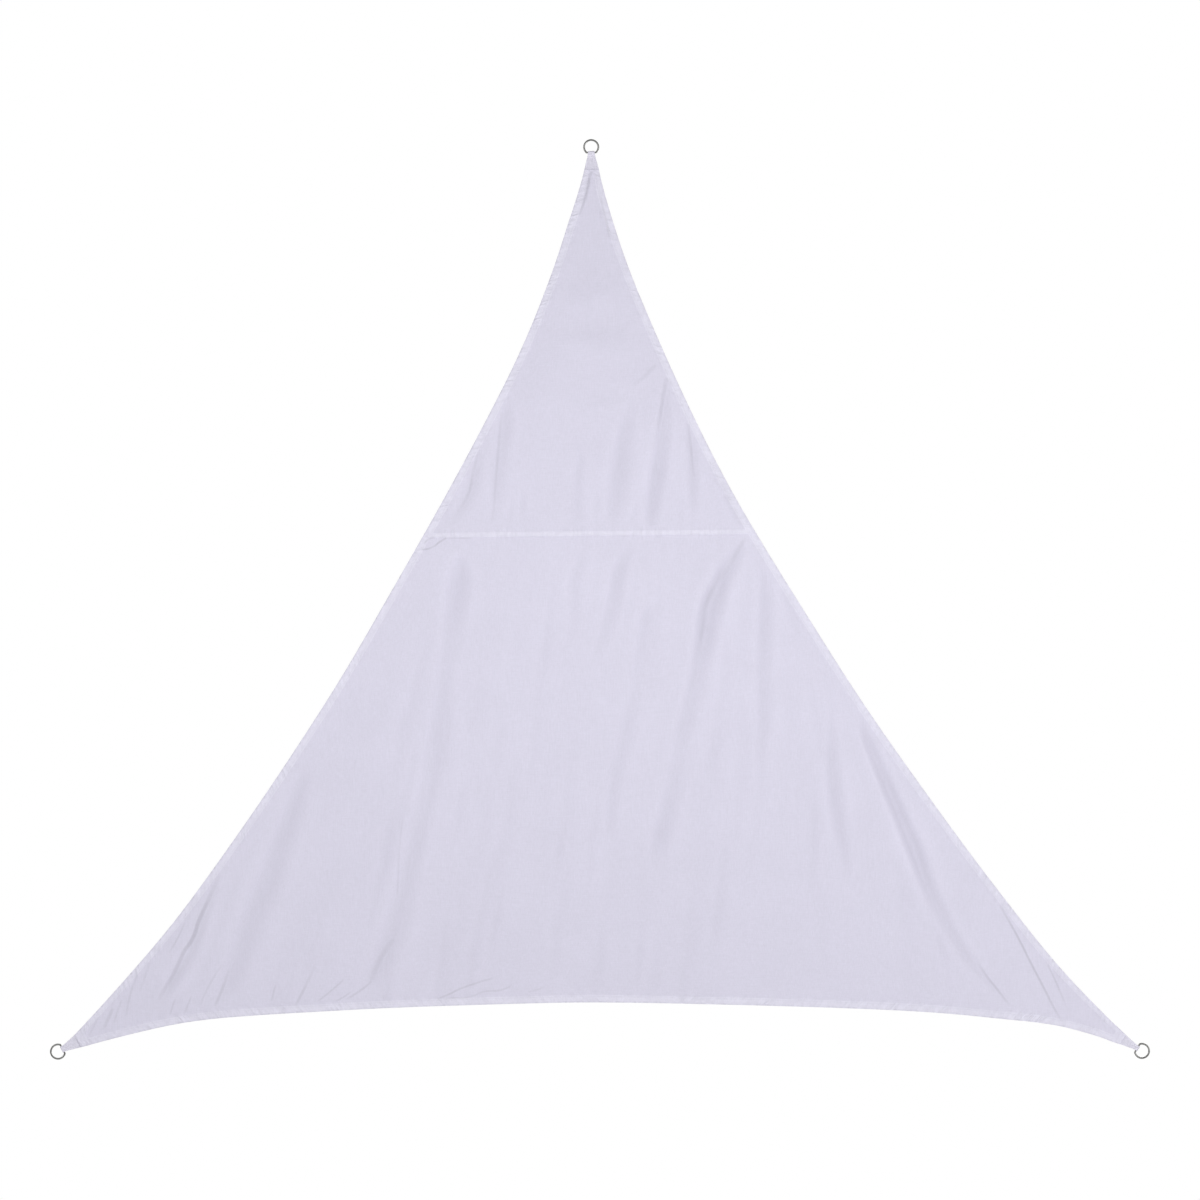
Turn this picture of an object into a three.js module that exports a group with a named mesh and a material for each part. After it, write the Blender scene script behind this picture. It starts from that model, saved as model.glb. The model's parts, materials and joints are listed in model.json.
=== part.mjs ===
import * as THREE from "three";
import { mergeVertices } from "three/addons/utils/BufferGeometryUtils.js";

// A triangular shade sail, about 3 x 3 x 3 m, of two cloth panels with a D-ring at each corner.
// Millimetres, +Z up. It hangs in the XZ plane from its top ring, with its face to -Y.
// The origin is the point inside the top ring on which a hook or a line bears.

// Rings: round wire bent to a D, its straight bar on the side of the cloth.
const RING_RADIUS = 20; // to the middle of the wire
const WIRE = 5;
const WIRE_SIDES = 8;
const BAR_OFFSET = 15; // ring centre to the middle of the bar
const BAR_BEND = 4; // bend at each end of the bar, to the middle of the wire
const RING_STEPS = 13; // odd, so that one flat lies across the point that bears
const BEND_STEPS = 3;

// Cloth: the hem is the panel's own border, turned over and so thicker.
const CLOTH = 2;
const HEM = 3;
const HEM_WIDTH = 20;
const HEM_LEDGE = 2; // the hem's inner side slopes down to the cloth over this width
const SEAM_OVERLAP = 14;
const SEAM_EASE = 80; // above the seam, over which the lapping panel comes back to the middle
const NARROW_HEM = 0.3; // a hem takes no more than this share of a narrow row, and its ledge
const NARROW_LEDGE = 0.04; // no more than this share
const GAP = 0.3; // between pieces that lie against each other
const SEAM_LEVEL = -1100.5; // height of the seam below the top ring, at the middle
const SEAM_TILT = 0.017; // it climbs this much for each millimetre to the right

// Tabs: a strap looped round the bar of the ring and sewn behind the squared tip of the cloth.
const STRAP = 1.5;
const TAB_GATHER = 0.5; // width at the bar, where the strap is gathered, as a share of the tip's width
const TAB_SHARE = 0.9; // width from the tip on, as a share of the tip's width
const TAB_LENGTH = 105; // from the bar to the sewn end
const TIP_START = 47; // from the bar to the squared tip of the cloth
const EYE_STEPS = 12;
const CROTCH = 12; // from the bar to where the two plies meet

// Corners: x, z of the ring centre, heading from the ring into the cloth in degrees, tip width.
const CORNERS = {
  top: { x: 0, z: WIRE / 2 - RING_RADIUS, heading: -89, tipWidth: 41 },
  left: { x: -1493, z: -2550, heading: 28, tipWidth: 38.8 },
  right: { x: 1542, z: -2548, heading: 149, tipWidth: 31 },
};

// Edges: each runs inward of the straight line between two tips, deepest near the middle.
// fullness is how flat the middle of the curve is, and lean below 1 moves the deepest point to the start.
const EDGES = {
  left: { from: tip("top", -1), to: tip("left", 1), sag: 134, fullness: 2.57, lean: 0.94 },
  right: { from: tip("top", 1), to: tip("right", -1), sag: -152, fullness: 2.29, lean: 0.915 },
  bottom: { from: tip("left", -1), to: tip("right", 1), sag: 114, fullness: 3.7, lean: 1.016 },
};

// The sail bellies towards the front, most at its middle.
const BELLY = 70;
// Folds and belly start this far from each ring, and are whole at the second distance.
const CALM_RADIUS = 200;
const FULL_RADIUS = 420;
const SEAM_CALM = 60; // folds die away over this distance to the stiff seam
const HEM_CALM = 70; // and over this distance to a hem, where HEM_SHARE of them is left
const HEM_SHARE = 0.35;
const FOLD_FADE = 0.2; // share of a fold's length over which each of its ends fades

// Folds, from the upper end to the lower. bend moves the middle of a fold to the right of the line
// between its ends, and swing its upper half to the right and its lower half to the left.
const FOLD_COLUMNS = ["x0", "z0", "x1", "z1", "bend", "swing", "width", "depth"];
const FOLDS = [
  [215, -670, 162, -1085, 7, 0, 26, 10],
  [99, -755, 36, -1090, 11, 0, 24, 7],
  [274, -790, 265, -1080, 14, 0, 22, 6],
  [-241, -750, -278, -1085, 4, 0, 22, 7],
  [-317, -890, -404, -1075, 0, 0, 20, 6],
  [428, -1115, 181, -2030, -26, -14, 32, 13],
  [484, -1200, 484, -1870, -6, 0, 28, 7],
  [120, -1120, 13, -1460, -11, 0, 24, 7],
  [148, -1310, 44, -1930, 6, 0, 28, 6],
  [674, -1530, 719, -2150, -9, 0, 30, 7],
  [775, -1645, 1156, -2410, -42, 5, 34, 11],
  [1130, -2170, 1324, -2445, 6, 0, 30, 6],
  [-367, -1180, -640, -2400, 56, -8, 34, 10],
  [-793, -1760, -1030, -2400, 0, 0, 36, 11],
  [-1050, -2095, -1200, -2425, -3, 0, 30, 8],
  [-983, -2200, -1042, -2415, 0, 0, 26, 6],
  [-401, -2396, -199, -2358, 8, 0, 22, 6],
].map((row) => Object.fromEntries(FOLD_COLUMNS.map((column, i) => [column, row[i]])));

// Grid of the panels: upright columns, and rows between the special ones.
const COLUMN_STEP = 30;
const UPPER_ROWS = 14;
const LOWER_ROWS = 18;
const HALVINGS = 50; // steps of each search for the place where two curves meet
const SIDE_COLUMNS = 2; // the edge and the hem, on each side of a row
const LEVEL_COST = 4; // a diagonal that climbs costs this much more than one that runs level

const clothMaterial = new THREE.MeshStandardMaterial({ color: 0xdad7e7, roughness: 0.9, metalness: 0 });
const strapMaterial = new THREE.MeshStandardMaterial({ color: 0xd2cfda, roughness: 0.85, metalness: 0 });
const wireMaterial = new THREE.MeshStandardMaterial({ color: 0x9a9a98, roughness: 0.3, metalness: 1 });

const mix = THREE.MathUtils.lerp;
const smooth = THREE.MathUtils.smoothstep;

// One end of a squared tip of the cloth: side 1 lies to the left of its heading, and -1 to the right.
function tip(name, side) {
  const { x, z, heading, tipWidth } = CORNERS[name];
  const turn = THREE.MathUtils.degToRad(heading);
  const reach = BAR_OFFSET + TIP_START;
  const across = (side * tipWidth) / 2;
  return {
    x: x + reach * Math.cos(turn) - across * Math.sin(turn),
    z: z + reach * Math.sin(turn) + across * Math.cos(turn),
  };
}

function edgeFrame({ from, to }) {
  const length = Math.hypot(to.x - from.x, to.z - from.z);
  return { length, alongX: (to.x - from.x) / length, alongZ: (to.z - from.z) / length };
}

function edgeSag(edge, t) {
  const share = THREE.MathUtils.clamp(t, 0, 1) ** edge.lean;
  return edge.sag * (1 - Math.abs(2 * share - 1) ** edge.fullness);
}

function edgePoint(edge, t) {
  const { length, alongX, alongZ } = edgeFrame(edge);
  const sag = edgeSag(edge, t);
  return {
    x: edge.from.x + alongX * length * t - alongZ * sag,
    z: edge.from.z + alongZ * length * t + alongX * sag,
  };
}

// How far a point lies inside an edge, measured square to the line between the edge's tips.
function inset(edge, x, z) {
  const { length, alongX, alongZ } = edgeFrame(edge);
  const dx = x - edge.from.x;
  const dz = z - edge.from.z;
  const t = (dx * alongX + dz * alongZ) / length;
  const side = dz * alongX - dx * alongZ - edgeSag(edge, t);
  return side * Math.sign(edge.sag);
}

const seamLevel = (x) => SEAM_LEVEL + SEAM_TILT * x;
const seamTop = (x) => seamLevel(x) + SEAM_OVERLAP / 2;
const seamBottom = (x) => seamLevel(x) - SEAM_OVERLAP / 2;

// Share of the folds and the belly that is left near a ring.
function cornerShare(x, z) {
  let share = 1;
  for (const corner of Object.values(CORNERS)) {
    const distance = Math.hypot(x - corner.x, z - corner.z);
    share *= smooth(distance, CALM_RADIUS, FULL_RADIUS);
  }
  return share;
}

// Share of the folds that is left near the hems and the seam.
function stiffShare(x, z) {
  const nearest = Math.min(...Object.values(EDGES).map((edge) => inset(edge, x, z)));
  const hemShare = mix(HEM_SHARE, 1, smooth(nearest, 0, HEM_CALM));
  const fromSeam = Math.abs(z - seamLevel(x)) - SEAM_OVERLAP / 2;
  return hemShare * smooth(fromSeam, 0, SEAM_CALM);
}

// The belly is the product of a point's shares of the three corners, which is 1/27 at the middle.
function belly(x, z) {
  const { top, left, right } = CORNERS;
  const whole = (left.z - right.z) * (top.x - right.x) + (right.x - left.x) * (top.z - right.z);
  const a = ((left.z - right.z) * (x - right.x) + (right.x - left.x) * (z - right.z)) / whole;
  const b = ((right.z - top.z) * (x - right.x) + (top.x - right.x) * (z - right.z)) / whole;
  return BELLY * 27 * a * b * (1 - a - b);
}

// One fold: a trough with a low ridge on each side of it.
function foldDepth(fold, x, z) {
  const length = Math.hypot(fold.x1 - fold.x0, fold.z1 - fold.z0);
  const alongX = (fold.x1 - fold.x0) / length;
  const alongZ = (fold.z1 - fold.z0) / length;
  const t = ((x - fold.x0) * alongX + (z - fold.z0) * alongZ) / length;
  if (t <= 0 || t >= 1) return 0;
  const curve = fold.bend * Math.sin(Math.PI * t) + fold.swing * Math.sin(2 * Math.PI * t);
  const right = -(x - fold.x0) * alongZ + (z - fold.z0) * alongX;
  const q = (right - curve) / fold.width;
  const fade = smooth(t, 0, FOLD_FADE) * smooth(1 - t, 0, FOLD_FADE);
  return fold.depth * fade * (1 - q * q) * Math.exp((-q * q) / 2);
}

// The middle of the cloth, as y: the tips lie in front of the tabs, which are sewn behind them.
function clothMiddle(x, z) {
  let folds = 0;
  for (const fold of FOLDS) folds += foldDepth(fold, x, z);
  const calm = cornerShare(x, z);
  return -(HEM + GAP) / 2 + calm * (folds * stiffShare(x, z) - belly(x, z));
}

// Where the row z = level(x) meets a side, which is an edge and then the squared tip at its end.
function sidePoint(edge, tipEnd, level) {
  const at = (s) => {
    if (s <= 1) return edgePoint(edge, s);
    return { x: mix(edge.to.x, tipEnd.x, s - 1), z: mix(edge.to.z, tipEnd.z, s - 1) };
  };
  let high = 0;
  let low = 2;
  for (let i = 0; i < HALVINGS; i += 1) {
    const middle = (high + low) / 2;
    const point = at(middle);
    if (point.z > level(point.x)) high = middle;
    else low = middle;
  }
  return { x: at(low).x, slope: inwardSlope(edge, low) };
}

// How many millimetres of a level row lie within 1 mm of the edge.
function inwardSlope(edge, s) {
  const t = Math.min(s, 1);
  const step = 0.001;
  const a = edgePoint(edge, t - step);
  const b = edgePoint(edge, t + step);
  return Math.hypot(b.x - a.x, b.z - a.z) / Math.abs(b.z - a.z);
}

// The x of each column of one row: edge, hem and ledge on each side, and upright columns between.
function columnPlaces(left, right) {
  const width = right.x - left.x;
  const hemLeft = Math.min(HEM_WIDTH * left.slope, NARROW_HEM * width);
  const hemRight = Math.min(HEM_WIDTH * right.slope, NARROW_HEM * width);
  const ledge = Math.min(HEM_LEDGE, NARROW_LEDGE * width);
  const first = left.x + hemLeft + ledge;
  const last = right.x - hemRight - ledge;
  const places = [left.x, left.x + hemLeft, first];
  const firstColumn = Math.ceil(first / COLUMN_STEP + 0.5);
  for (let column = firstColumn; (column + 0.5) * COLUMN_STEP < last; column += 1) {
    places.push(column * COLUMN_STEP);
  }
  places.push(last, right.x - hemRight, right.x);
  return places;
}

// A row of the grid: its points, each with the middle and the thickness of the cloth there.
function gridRow({ level, isHem, lap }) {
  const left = sidePoint(EDGES.left, EDGES.bottom.from, level);
  const right = sidePoint(EDGES.right, EDGES.bottom.to, level);
  const places = columnPlaces(left, right);
  return places.map((x, i) => {
    const inHem = isHem || i < SIDE_COLUMNS || i >= places.length - SIDE_COLUMNS;
    const thickness = inHem ? HEM : CLOTH;
    const z = level(x);
    const y = clothMiddle(x, z) - lap * (thickness + GAP);
    return { x, y, z, thickness };
  });
}

// Triangles between two rows that may differ in length, as [row, column] pairs seen from the front.
// The hems are joined point to point, and between them the shortest diagonals are taken.
function stripTriangles(rows, r) {
  const upper = rows[r];
  const lower = rows[r + 1];
  const triangles = [];
  const cost = (a, b) => Math.hypot(a.x - b.x, LEVEL_COST * (a.y - b.y));
  let i = 0;
  let j = 0;
  const walkTo = (iEnd, jEnd) => {
    while (i < iEnd || j < jEnd) {
      const upperCost = i < iEnd ? cost(upper[i + 1], lower[j]) : Infinity;
      const lowerCost = j < jEnd ? cost(upper[i], lower[j + 1]) : Infinity;
      if (upperCost < lowerCost) {
        triangles.push([[r, i], [r + 1, j], [r, i + 1]]);
        i += 1;
      } else {
        triangles.push([[r, i], [r + 1, j], [r + 1, j + 1]]);
        j += 1;
      }
    }
  };
  for (let side = 1; side <= SIDE_COLUMNS; side += 1) walkTo(side, side);
  for (let side = SIDE_COLUMNS; side >= 0; side -= 1) {
    walkTo(upper.length - 1 - side, lower.length - 1 - side);
  }
  return triangles;
}

// The border of the rows, counter-clockwise seen from the front, as [row, column] pairs.
function borderOf(rows) {
  const last = rows.length - 1;
  const border = [];
  for (let r = 0; r < last; r += 1) border.push([r, 0]);
  for (let c = 0; c < rows[last].length - 1; c += 1) border.push([last, c]);
  for (let r = last; r > 0; r -= 1) border.push([r, rows[r].length - 1]);
  for (let c = rows[0].length - 1; c > 0; c -= 1) border.push([0, c]);
  return border;
}

// A closed sheet over rows of points: a front, a back, and a wall along the border.
function sheetGeometry(rows) {
  const positions = [];
  for (const side of [-1, 1]) {
    for (const p of rows.flat()) positions.push(p.x, p.y + (side * p.thickness) / 2, p.z);
  }
  const starts = [0];
  for (const row of rows) starts.push(starts.at(-1) + row.length);
  const front = ([r, c]) => starts[r] + c;
  const back = ([r, c]) => starts.at(-1) + starts[r] + c;
  const triangles = [];
  for (let r = 0; r + 1 < rows.length; r += 1) {
    for (const [a, b, c] of stripTriangles(rows, r)) {
      triangles.push(front(a), front(b), front(c));
      triangles.push(back(a), back(c), back(b));
    }
  }
  const border = borderOf(rows);
  border.forEach((a, i) => {
    const b = border[(i + 1) % border.length];
    triangles.push(front(a), back(a), front(b));
    triangles.push(front(b), back(a), back(b));
  });
  return indexedGeometry(positions, triangles);
}

function indexedGeometry(positions, triangles) {
  const geometry = new THREE.BufferGeometry();
  geometry.setAttribute("position", new THREE.Float32BufferAttribute(positions, 3));
  geometry.setIndex(triangles);
  geometry.computeVertexNormals();
  return geometry;
}

// The straight line through two points, as z for any x.
function lineLevel(a, b) {
  return (x) => a.z + ((b.z - a.z) * (x - a.x)) / (b.x - a.x);
}

// The bottom edge as z for any x, carried on straight past its tips.
function bottomLevel(x) {
  const { from, to } = EDGES.bottom;
  const step = 0.01;
  if (x <= from.x) return lineLevel(from, edgePoint(EDGES.bottom, step))(x);
  if (x >= to.x) return lineLevel(edgePoint(EDGES.bottom, 1 - step), to)(x);
  let low = 0;
  let high = 1;
  for (let i = 0; i < HALVINGS; i += 1) {
    const middle = (low + high) / 2;
    if (edgePoint(EDGES.bottom, middle).x < x) low = middle;
    else high = middle;
  }
  return edgePoint(EDGES.bottom, low).z;
}

// From the squared tip at the top ring down to the seam, where it laps in front of the lower panel.
function upperPanel() {
  const tipLevel = lineLevel(tip("top", -1), tip("top", 1));
  const rows = [];
  for (let i = 0; i <= UPPER_ROWS; i += 1) {
    const level = (x) => mix(tipLevel(x), seamTop(x), i / UPPER_ROWS);
    const aboveSeam = level(0) - seamTop(0);
    rows.push({ level, isHem: false, lap: 1 - smooth(aboveSeam, 0, SEAM_EASE) });
  }
  rows.push({ level: seamBottom, isHem: false, lap: 1 });
  return sheetGeometry(rows.map(gridRow));
}

// From behind the lap down to the bottom hem, between the squared tips at the two lower rings.
function lowerPanel() {
  const { left, right } = EDGES;
  const leftRise = left.to.z - bottomLevel(left.to.x);
  const rightRise = right.to.z - bottomLevel(right.to.x);
  const rise = lineLevel({ x: left.to.x, z: leftRise }, { x: right.to.x, z: rightRise });
  const tipLevel = (x) => bottomLevel(x) + rise(x);
  const rows = [{ level: seamTop, isHem: false, lap: 0 }];
  for (let i = 0; i <= LOWER_ROWS; i += 1) {
    const level = (x) => mix(seamBottom(x), tipLevel(x), i / LOWER_ROWS);
    rows.push({ level, isHem: false, lap: 0 });
  }
  rows.push({ level: (x) => bottomLevel(x) + HEM_WIDTH + HEM_LEDGE, isHem: false, lap: 0 });
  rows.push({ level: (x) => bottomLevel(x) + HEM_WIDTH, isHem: true, lap: 0 });
  rows.push({ level: bottomLevel, isHem: true, lap: 0 });
  return sheetGeometry(rows.map(gridRow));
}

// The middle of the wire, counter-clockwise from the bar: x runs from the ring's centre to the cloth.
function ringPath() {
  const bendX = BAR_OFFSET - BAR_BEND;
  const bendZ = Math.sqrt((RING_RADIUS - BAR_BEND) ** 2 - bendX ** 2);
  const bendTurn = Math.atan2(bendZ, bendX);
  const step = (2 * (Math.PI - bendTurn)) / RING_STEPS;
  const points = [];
  for (let i = 0; i < BEND_STEPS; i += 1) {
    const turn = (bendTurn * i) / BEND_STEPS;
    points.push([bendX + BAR_BEND * Math.cos(turn), bendZ + BAR_BEND * Math.sin(turn)]);
  }
  for (let i = 0; i <= RING_STEPS; i += 1) {
    const turn = bendTurn + step * i;
    const radius = RING_RADIUS / Math.cos(step / 2);
    points.push([radius * Math.cos(turn), radius * Math.sin(turn)]);
  }
  for (let i = BEND_STEPS - 1; i >= 0; i -= 1) {
    const turn = (bendTurn * i) / BEND_STEPS;
    points.push([bendX + BAR_BEND * Math.cos(turn), -bendZ - BAR_BEND * Math.sin(turn)]);
  }
  return points.map(([x, z]) => new THREE.Vector2(x, z));
}

// Each point of a closed path moves outward, so that every side moves by the same distance.
function mitres(path) {
  return path.map((point, i) => {
    const before = path[(i + path.length - 1) % path.length];
    const after = path[(i + 1) % path.length];
    const arriving = point.clone().sub(before).normalize();
    const leaving = after.clone().sub(point).normalize();
    const normal = new THREE.Vector2(arriving.y + leaving.y, -arriving.x - leaving.x).normalize();
    return normal.divideScalar(normal.dot(new THREE.Vector2(leaving.y, -leaving.x)));
  });
}

function ringGeometry() {
  const path = ringPath();
  const outward = mitres(path);
  const sectionRadius = WIRE / 2 / Math.cos(Math.PI / WIRE_SIDES);
  const positions = [];
  path.forEach((point, i) => {
    for (let k = 0; k < WIRE_SIDES; k += 1) {
      const turn = (2 * Math.PI * (k + 0.5)) / WIRE_SIDES;
      const out = sectionRadius * Math.cos(turn);
      const y = sectionRadius * Math.sin(turn);
      positions.push(point.x + outward[i].x * out, y, point.y + outward[i].y * out);
    }
  });
  const triangles = [];
  for (let i = 0; i < path.length; i += 1) {
    const next = ((i + 1) % path.length) * WIRE_SIDES;
    for (let k = 0; k < WIRE_SIDES; k += 1) {
      const k2 = (k + 1) % WIRE_SIDES;
      const [a, b, c, d] = [i * WIRE_SIDES + k, i * WIRE_SIDES + k2, next + k2, next + k];
      triangles.push(a, b, c, a, c, d);
    }
  }
  return indexedGeometry(positions, triangles);
}

// Half the width of a tab at a distance from the bar: gathered at the bar, full at the cloth's tip.
function tabHalfWidth(tipWidth, fromBar) {
  const share = mix(TAB_GATHER, TAB_SHARE, THREE.MathUtils.clamp(fromBar / TIP_START, 0, 1));
  return (tipWidth * share) / 2;
}

// A tab's section, in distance from the bar and depth, with the eye that the bar lies in.
function tabSection() {
  const eye = (WIRE / 2 / Math.cos(Math.PI / WIRE_SIDES) + GAP) / Math.cos(Math.PI / EYE_STEPS);
  const outer = eye + STRAP;
  const frontFace = GAP / 2;
  const backFace = frontFace + 2 * STRAP;
  const wrap = Math.PI * 0.6; // half the turn that the strap makes round the bar
  const shape = new THREE.Shape();
  shape.moveTo(TAB_LENGTH, frontFace);
  shape.lineTo(TIP_START, frontFace);
  shape.lineTo(CROTCH + 2 * STRAP, frontFace);
  for (let i = 0; i <= EYE_STEPS; i += 1) {
    const turn = -Math.PI + mix(wrap, -wrap, i / EYE_STEPS);
    shape.lineTo(outer * Math.cos(turn), outer * Math.sin(turn));
  }
  shape.lineTo(CROTCH + 2 * STRAP, backFace);
  shape.lineTo(TIP_START, backFace);
  shape.lineTo(TAB_LENGTH, backFace);
  shape.closePath();
  const hole = new THREE.Path();
  hole.moveTo(CROTCH, (frontFace + backFace) / 2);
  for (let i = 0; i <= EYE_STEPS; i += 1) {
    const turn = -Math.PI + mix(-wrap, wrap, i / EYE_STEPS);
    hole.lineTo(eye * Math.cos(turn), eye * Math.sin(turn));
  }
  hole.closePath();
  shape.holes.push(hole);
  return shape;
}

// The section is extruded across the strap, then each end moves to the tab's width at its place.
function tabGeometry(tipWidth) {
  let geometry = new THREE.ExtrudeGeometry(tabSection(), { depth: 1, bevelEnabled: false });
  geometry.deleteAttribute("normal");
  geometry.deleteAttribute("uv");
  geometry = mergeVertices(geometry);
  const places = geometry.getAttribute("position");
  for (let i = 0; i < places.count; i += 1) {
    const side = places.getZ(i) > 0.5 ? 1 : -1;
    const fromBar = places.getX(i);
    places.setXYZ(i, BAR_OFFSET + fromBar, places.getY(i), side * tabHalfWidth(tipWidth, fromBar));
  }
  geometry.computeVertexNormals();
  return geometry;
}

function namedMesh(name, geometry, material) {
  const mesh = new THREE.Mesh(geometry, material);
  mesh.name = name;
  return mesh;
}

const group = new THREE.Group();
group.add(namedMesh("upper_panel", upperPanel(), clothMaterial));
group.add(namedMesh("lower_panel", lowerPanel(), clothMaterial));
for (const [name, corner] of Object.entries(CORNERS)) {
  const fitting = new THREE.Group();
  fitting.position.set(corner.x, 0, corner.z);
  fitting.rotation.y = -THREE.MathUtils.degToRad(corner.heading);
  fitting.add(namedMesh(`corner_tab_${name}`, tabGeometry(corner.tipWidth), strapMaterial));
  fitting.add(namedMesh(`ring_${name}`, ringGeometry(), wireMaterial));
  group.add(fitting);
}

export default group;
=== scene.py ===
"""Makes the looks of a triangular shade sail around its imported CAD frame.

The sail hangs in the XZ plane from its top ring, with its face to -Y. Lengths are in metres, except
those of the folds and creases, which are in millimetres.
"""

import json
import math
from collections import namedtuple
from functools import reduce

import bpy
import numpy as np
from bpy.props import FloatProperty, FloatVectorProperty, IntProperty, PointerProperty
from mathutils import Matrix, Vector

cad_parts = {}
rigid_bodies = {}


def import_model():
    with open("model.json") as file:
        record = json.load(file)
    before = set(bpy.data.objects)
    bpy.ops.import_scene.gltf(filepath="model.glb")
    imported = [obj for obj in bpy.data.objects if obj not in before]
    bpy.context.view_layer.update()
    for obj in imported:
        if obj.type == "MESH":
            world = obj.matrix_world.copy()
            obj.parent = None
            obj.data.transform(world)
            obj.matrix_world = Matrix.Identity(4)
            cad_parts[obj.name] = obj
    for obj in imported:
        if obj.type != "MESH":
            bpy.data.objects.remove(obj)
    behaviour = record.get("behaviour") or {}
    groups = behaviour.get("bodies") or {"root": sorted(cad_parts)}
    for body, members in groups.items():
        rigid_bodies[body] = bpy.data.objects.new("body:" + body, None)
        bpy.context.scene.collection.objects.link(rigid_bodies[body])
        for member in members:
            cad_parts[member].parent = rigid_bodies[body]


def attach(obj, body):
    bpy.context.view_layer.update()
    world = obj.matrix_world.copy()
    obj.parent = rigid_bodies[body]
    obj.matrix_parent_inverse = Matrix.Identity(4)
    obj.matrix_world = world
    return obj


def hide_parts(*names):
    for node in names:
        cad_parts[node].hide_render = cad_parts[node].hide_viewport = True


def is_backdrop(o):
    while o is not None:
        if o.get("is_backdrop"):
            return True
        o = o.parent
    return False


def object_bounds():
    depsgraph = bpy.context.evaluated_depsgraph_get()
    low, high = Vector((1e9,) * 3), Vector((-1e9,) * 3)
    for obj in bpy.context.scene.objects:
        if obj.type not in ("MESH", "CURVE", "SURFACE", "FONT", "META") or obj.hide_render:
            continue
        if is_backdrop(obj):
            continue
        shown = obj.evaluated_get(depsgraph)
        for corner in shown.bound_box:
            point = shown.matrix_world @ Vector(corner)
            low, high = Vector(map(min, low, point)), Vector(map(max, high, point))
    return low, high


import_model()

bl_info = {
    "name": "Shade sail",
    "version": (1, 0, 0),
    "blender": (4, 5, 0),
    "location": "3D View > Sidebar > Shade sail",
    "description": "Makes a triangular shade sail of seamed and hemmed cloth with a ring at each corner",
    "category": "Object",
}

BODY = "root"
MILLIMETRE = 0.001

# ---------------------------------------------------------------- the sail's plan

Corner = namedtuple("Corner", "x z heading tip_width")
Edge = namedtuple("Edge", "start end sag fullness lean swells")
Swell = namedtuple("Swell", "place spread height")

# Ring centres, the heading from each ring into the cloth in degrees, and the width of the tip.
CORNERS = {
    "top": Corner(0.0, -0.0175, -89, 0.041),
    "left": Corner(-1.493, -2.550, 28, 0.0388),
    "right": Corner(1.542, -2.548, 149, 0.031),
}

RING_RADIUS = 0.020  # to the middle of the wire
BAR_OFFSET = 0.015  # ring centre to the middle of the bar
BAR_BEND = 0.004  # bend at each end of the bar
TIP_START = 0.047  # from the bar to the squared tip of the cloth
HEM_WIDTH = 0.020
SEAM_OVERLAP = 0.014
SEAM_LEVEL = -1.0996
SEAM_TILT = 0.0115


def corner_place(corner, along, across):
    """A point given by its distance from the ring's centre along the heading, and to its left."""
    turn = math.radians(corner.heading)
    x = corner.x + along * math.cos(turn) - across * math.sin(turn)
    z = corner.z + along * math.sin(turn) + across * math.cos(turn)
    return x, z


def tip(name, side):
    """One end of a squared tip: side 1 lies to the left of its heading, and -1 to the right."""
    corner = CORNERS[name]
    return corner_place(corner, BAR_OFFSET + TIP_START, side * corner.tip_width / 2)


# Swells along each edge, whose place and spread are shares of its length. They take the edge a little
# further in, or out where their height is below 0.
LEFT_SWELLS = (
    Swell(0.055, 0.022, -0.0026),
    Swell(0.185, 0.050, 0.0040),
    Swell(0.55, 0.060, 0.0037),
    Swell(0.855, 0.045, 0.0035),
)
RIGHT_SWELLS = (
    Swell(0.10, 0.030, 0.0018),
    Swell(0.34, 0.075, 0.0062),
    Swell(0.69, 0.060, -0.0034),
    Swell(0.91, 0.052, 0.0078),
)
BOTTOM_SWELLS = (
    Swell(0.105, 0.040, 0.0062),
    Swell(0.24, 0.045, -0.0022),
    Swell(0.49, 0.085, 0.0096),
    Swell(0.745, 0.060, -0.0028),
    Swell(0.943, 0.033, 0.0090),
)
SWELL_END = 0.02  # swells die away over this share of an edge at each tip

# Each edge runs inward of the straight line between two tips, which is to its left where its sag is
# above 0. A fullness of 2 makes it a parabola, and more makes it squarer. A lean below 1 moves its
# deepest point towards its start.
EDGES = {
    "left": Edge(tip("top", -1), tip("left", 1), 0.134, 2.57, 0.94, LEFT_SWELLS),
    "right": Edge(tip("top", 1), tip("right", -1), -0.152, 2.29, 0.915, RIGHT_SWELLS),
    "bottom": Edge(tip("left", -1), tip("right", 1), 0.114, 3.7, 1.016, BOTTOM_SWELLS),
}


def smooth(value, low, high):
    """Rises smoothly from 0 at low to 1 at high."""
    share = np.clip((value - low) / (high - low), 0, 1)
    return share * share * (3 - 2 * share)


def chord(start, end):
    """Length and direction of the straight line between two points."""
    dx, dz = end[0] - start[0], end[1] - start[1]
    length = math.hypot(dx, dz)
    return length, (dx / length, dz / length)


def against_line(start, direction, x, z):
    """How far points lie along a line from its start, and how far to its left."""
    dx, dz = x - start[0], z - start[1]
    return dx * direction[0] + dz * direction[1], dz * direction[0] - dx * direction[1]


def edge_sag(edge, t):
    """How far an edge lies to the left of its chord, at shares of the chord's length."""
    share = np.clip(t, 0, 1) ** edge.lean
    swell = sum(s.height * np.exp(-(((t - s.place) / s.spread) ** 2) / 2) for s in edge.swells)
    swell = swell * smooth(t, 0, SWELL_END) * smooth(1 - t, 0, SWELL_END)
    return edge.sag * (1 - np.abs(2 * share - 1) ** edge.fullness) + math.copysign(1, edge.sag) * swell


def edge_points(edge, t):
    length, (along_x, along_z) = chord(edge.start, edge.end)
    sag = edge_sag(edge, t)
    x = edge.start[0] + along_x * length * t - along_z * sag
    z = edge.start[1] + along_z * length * t + along_x * sag
    return x, z


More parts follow.
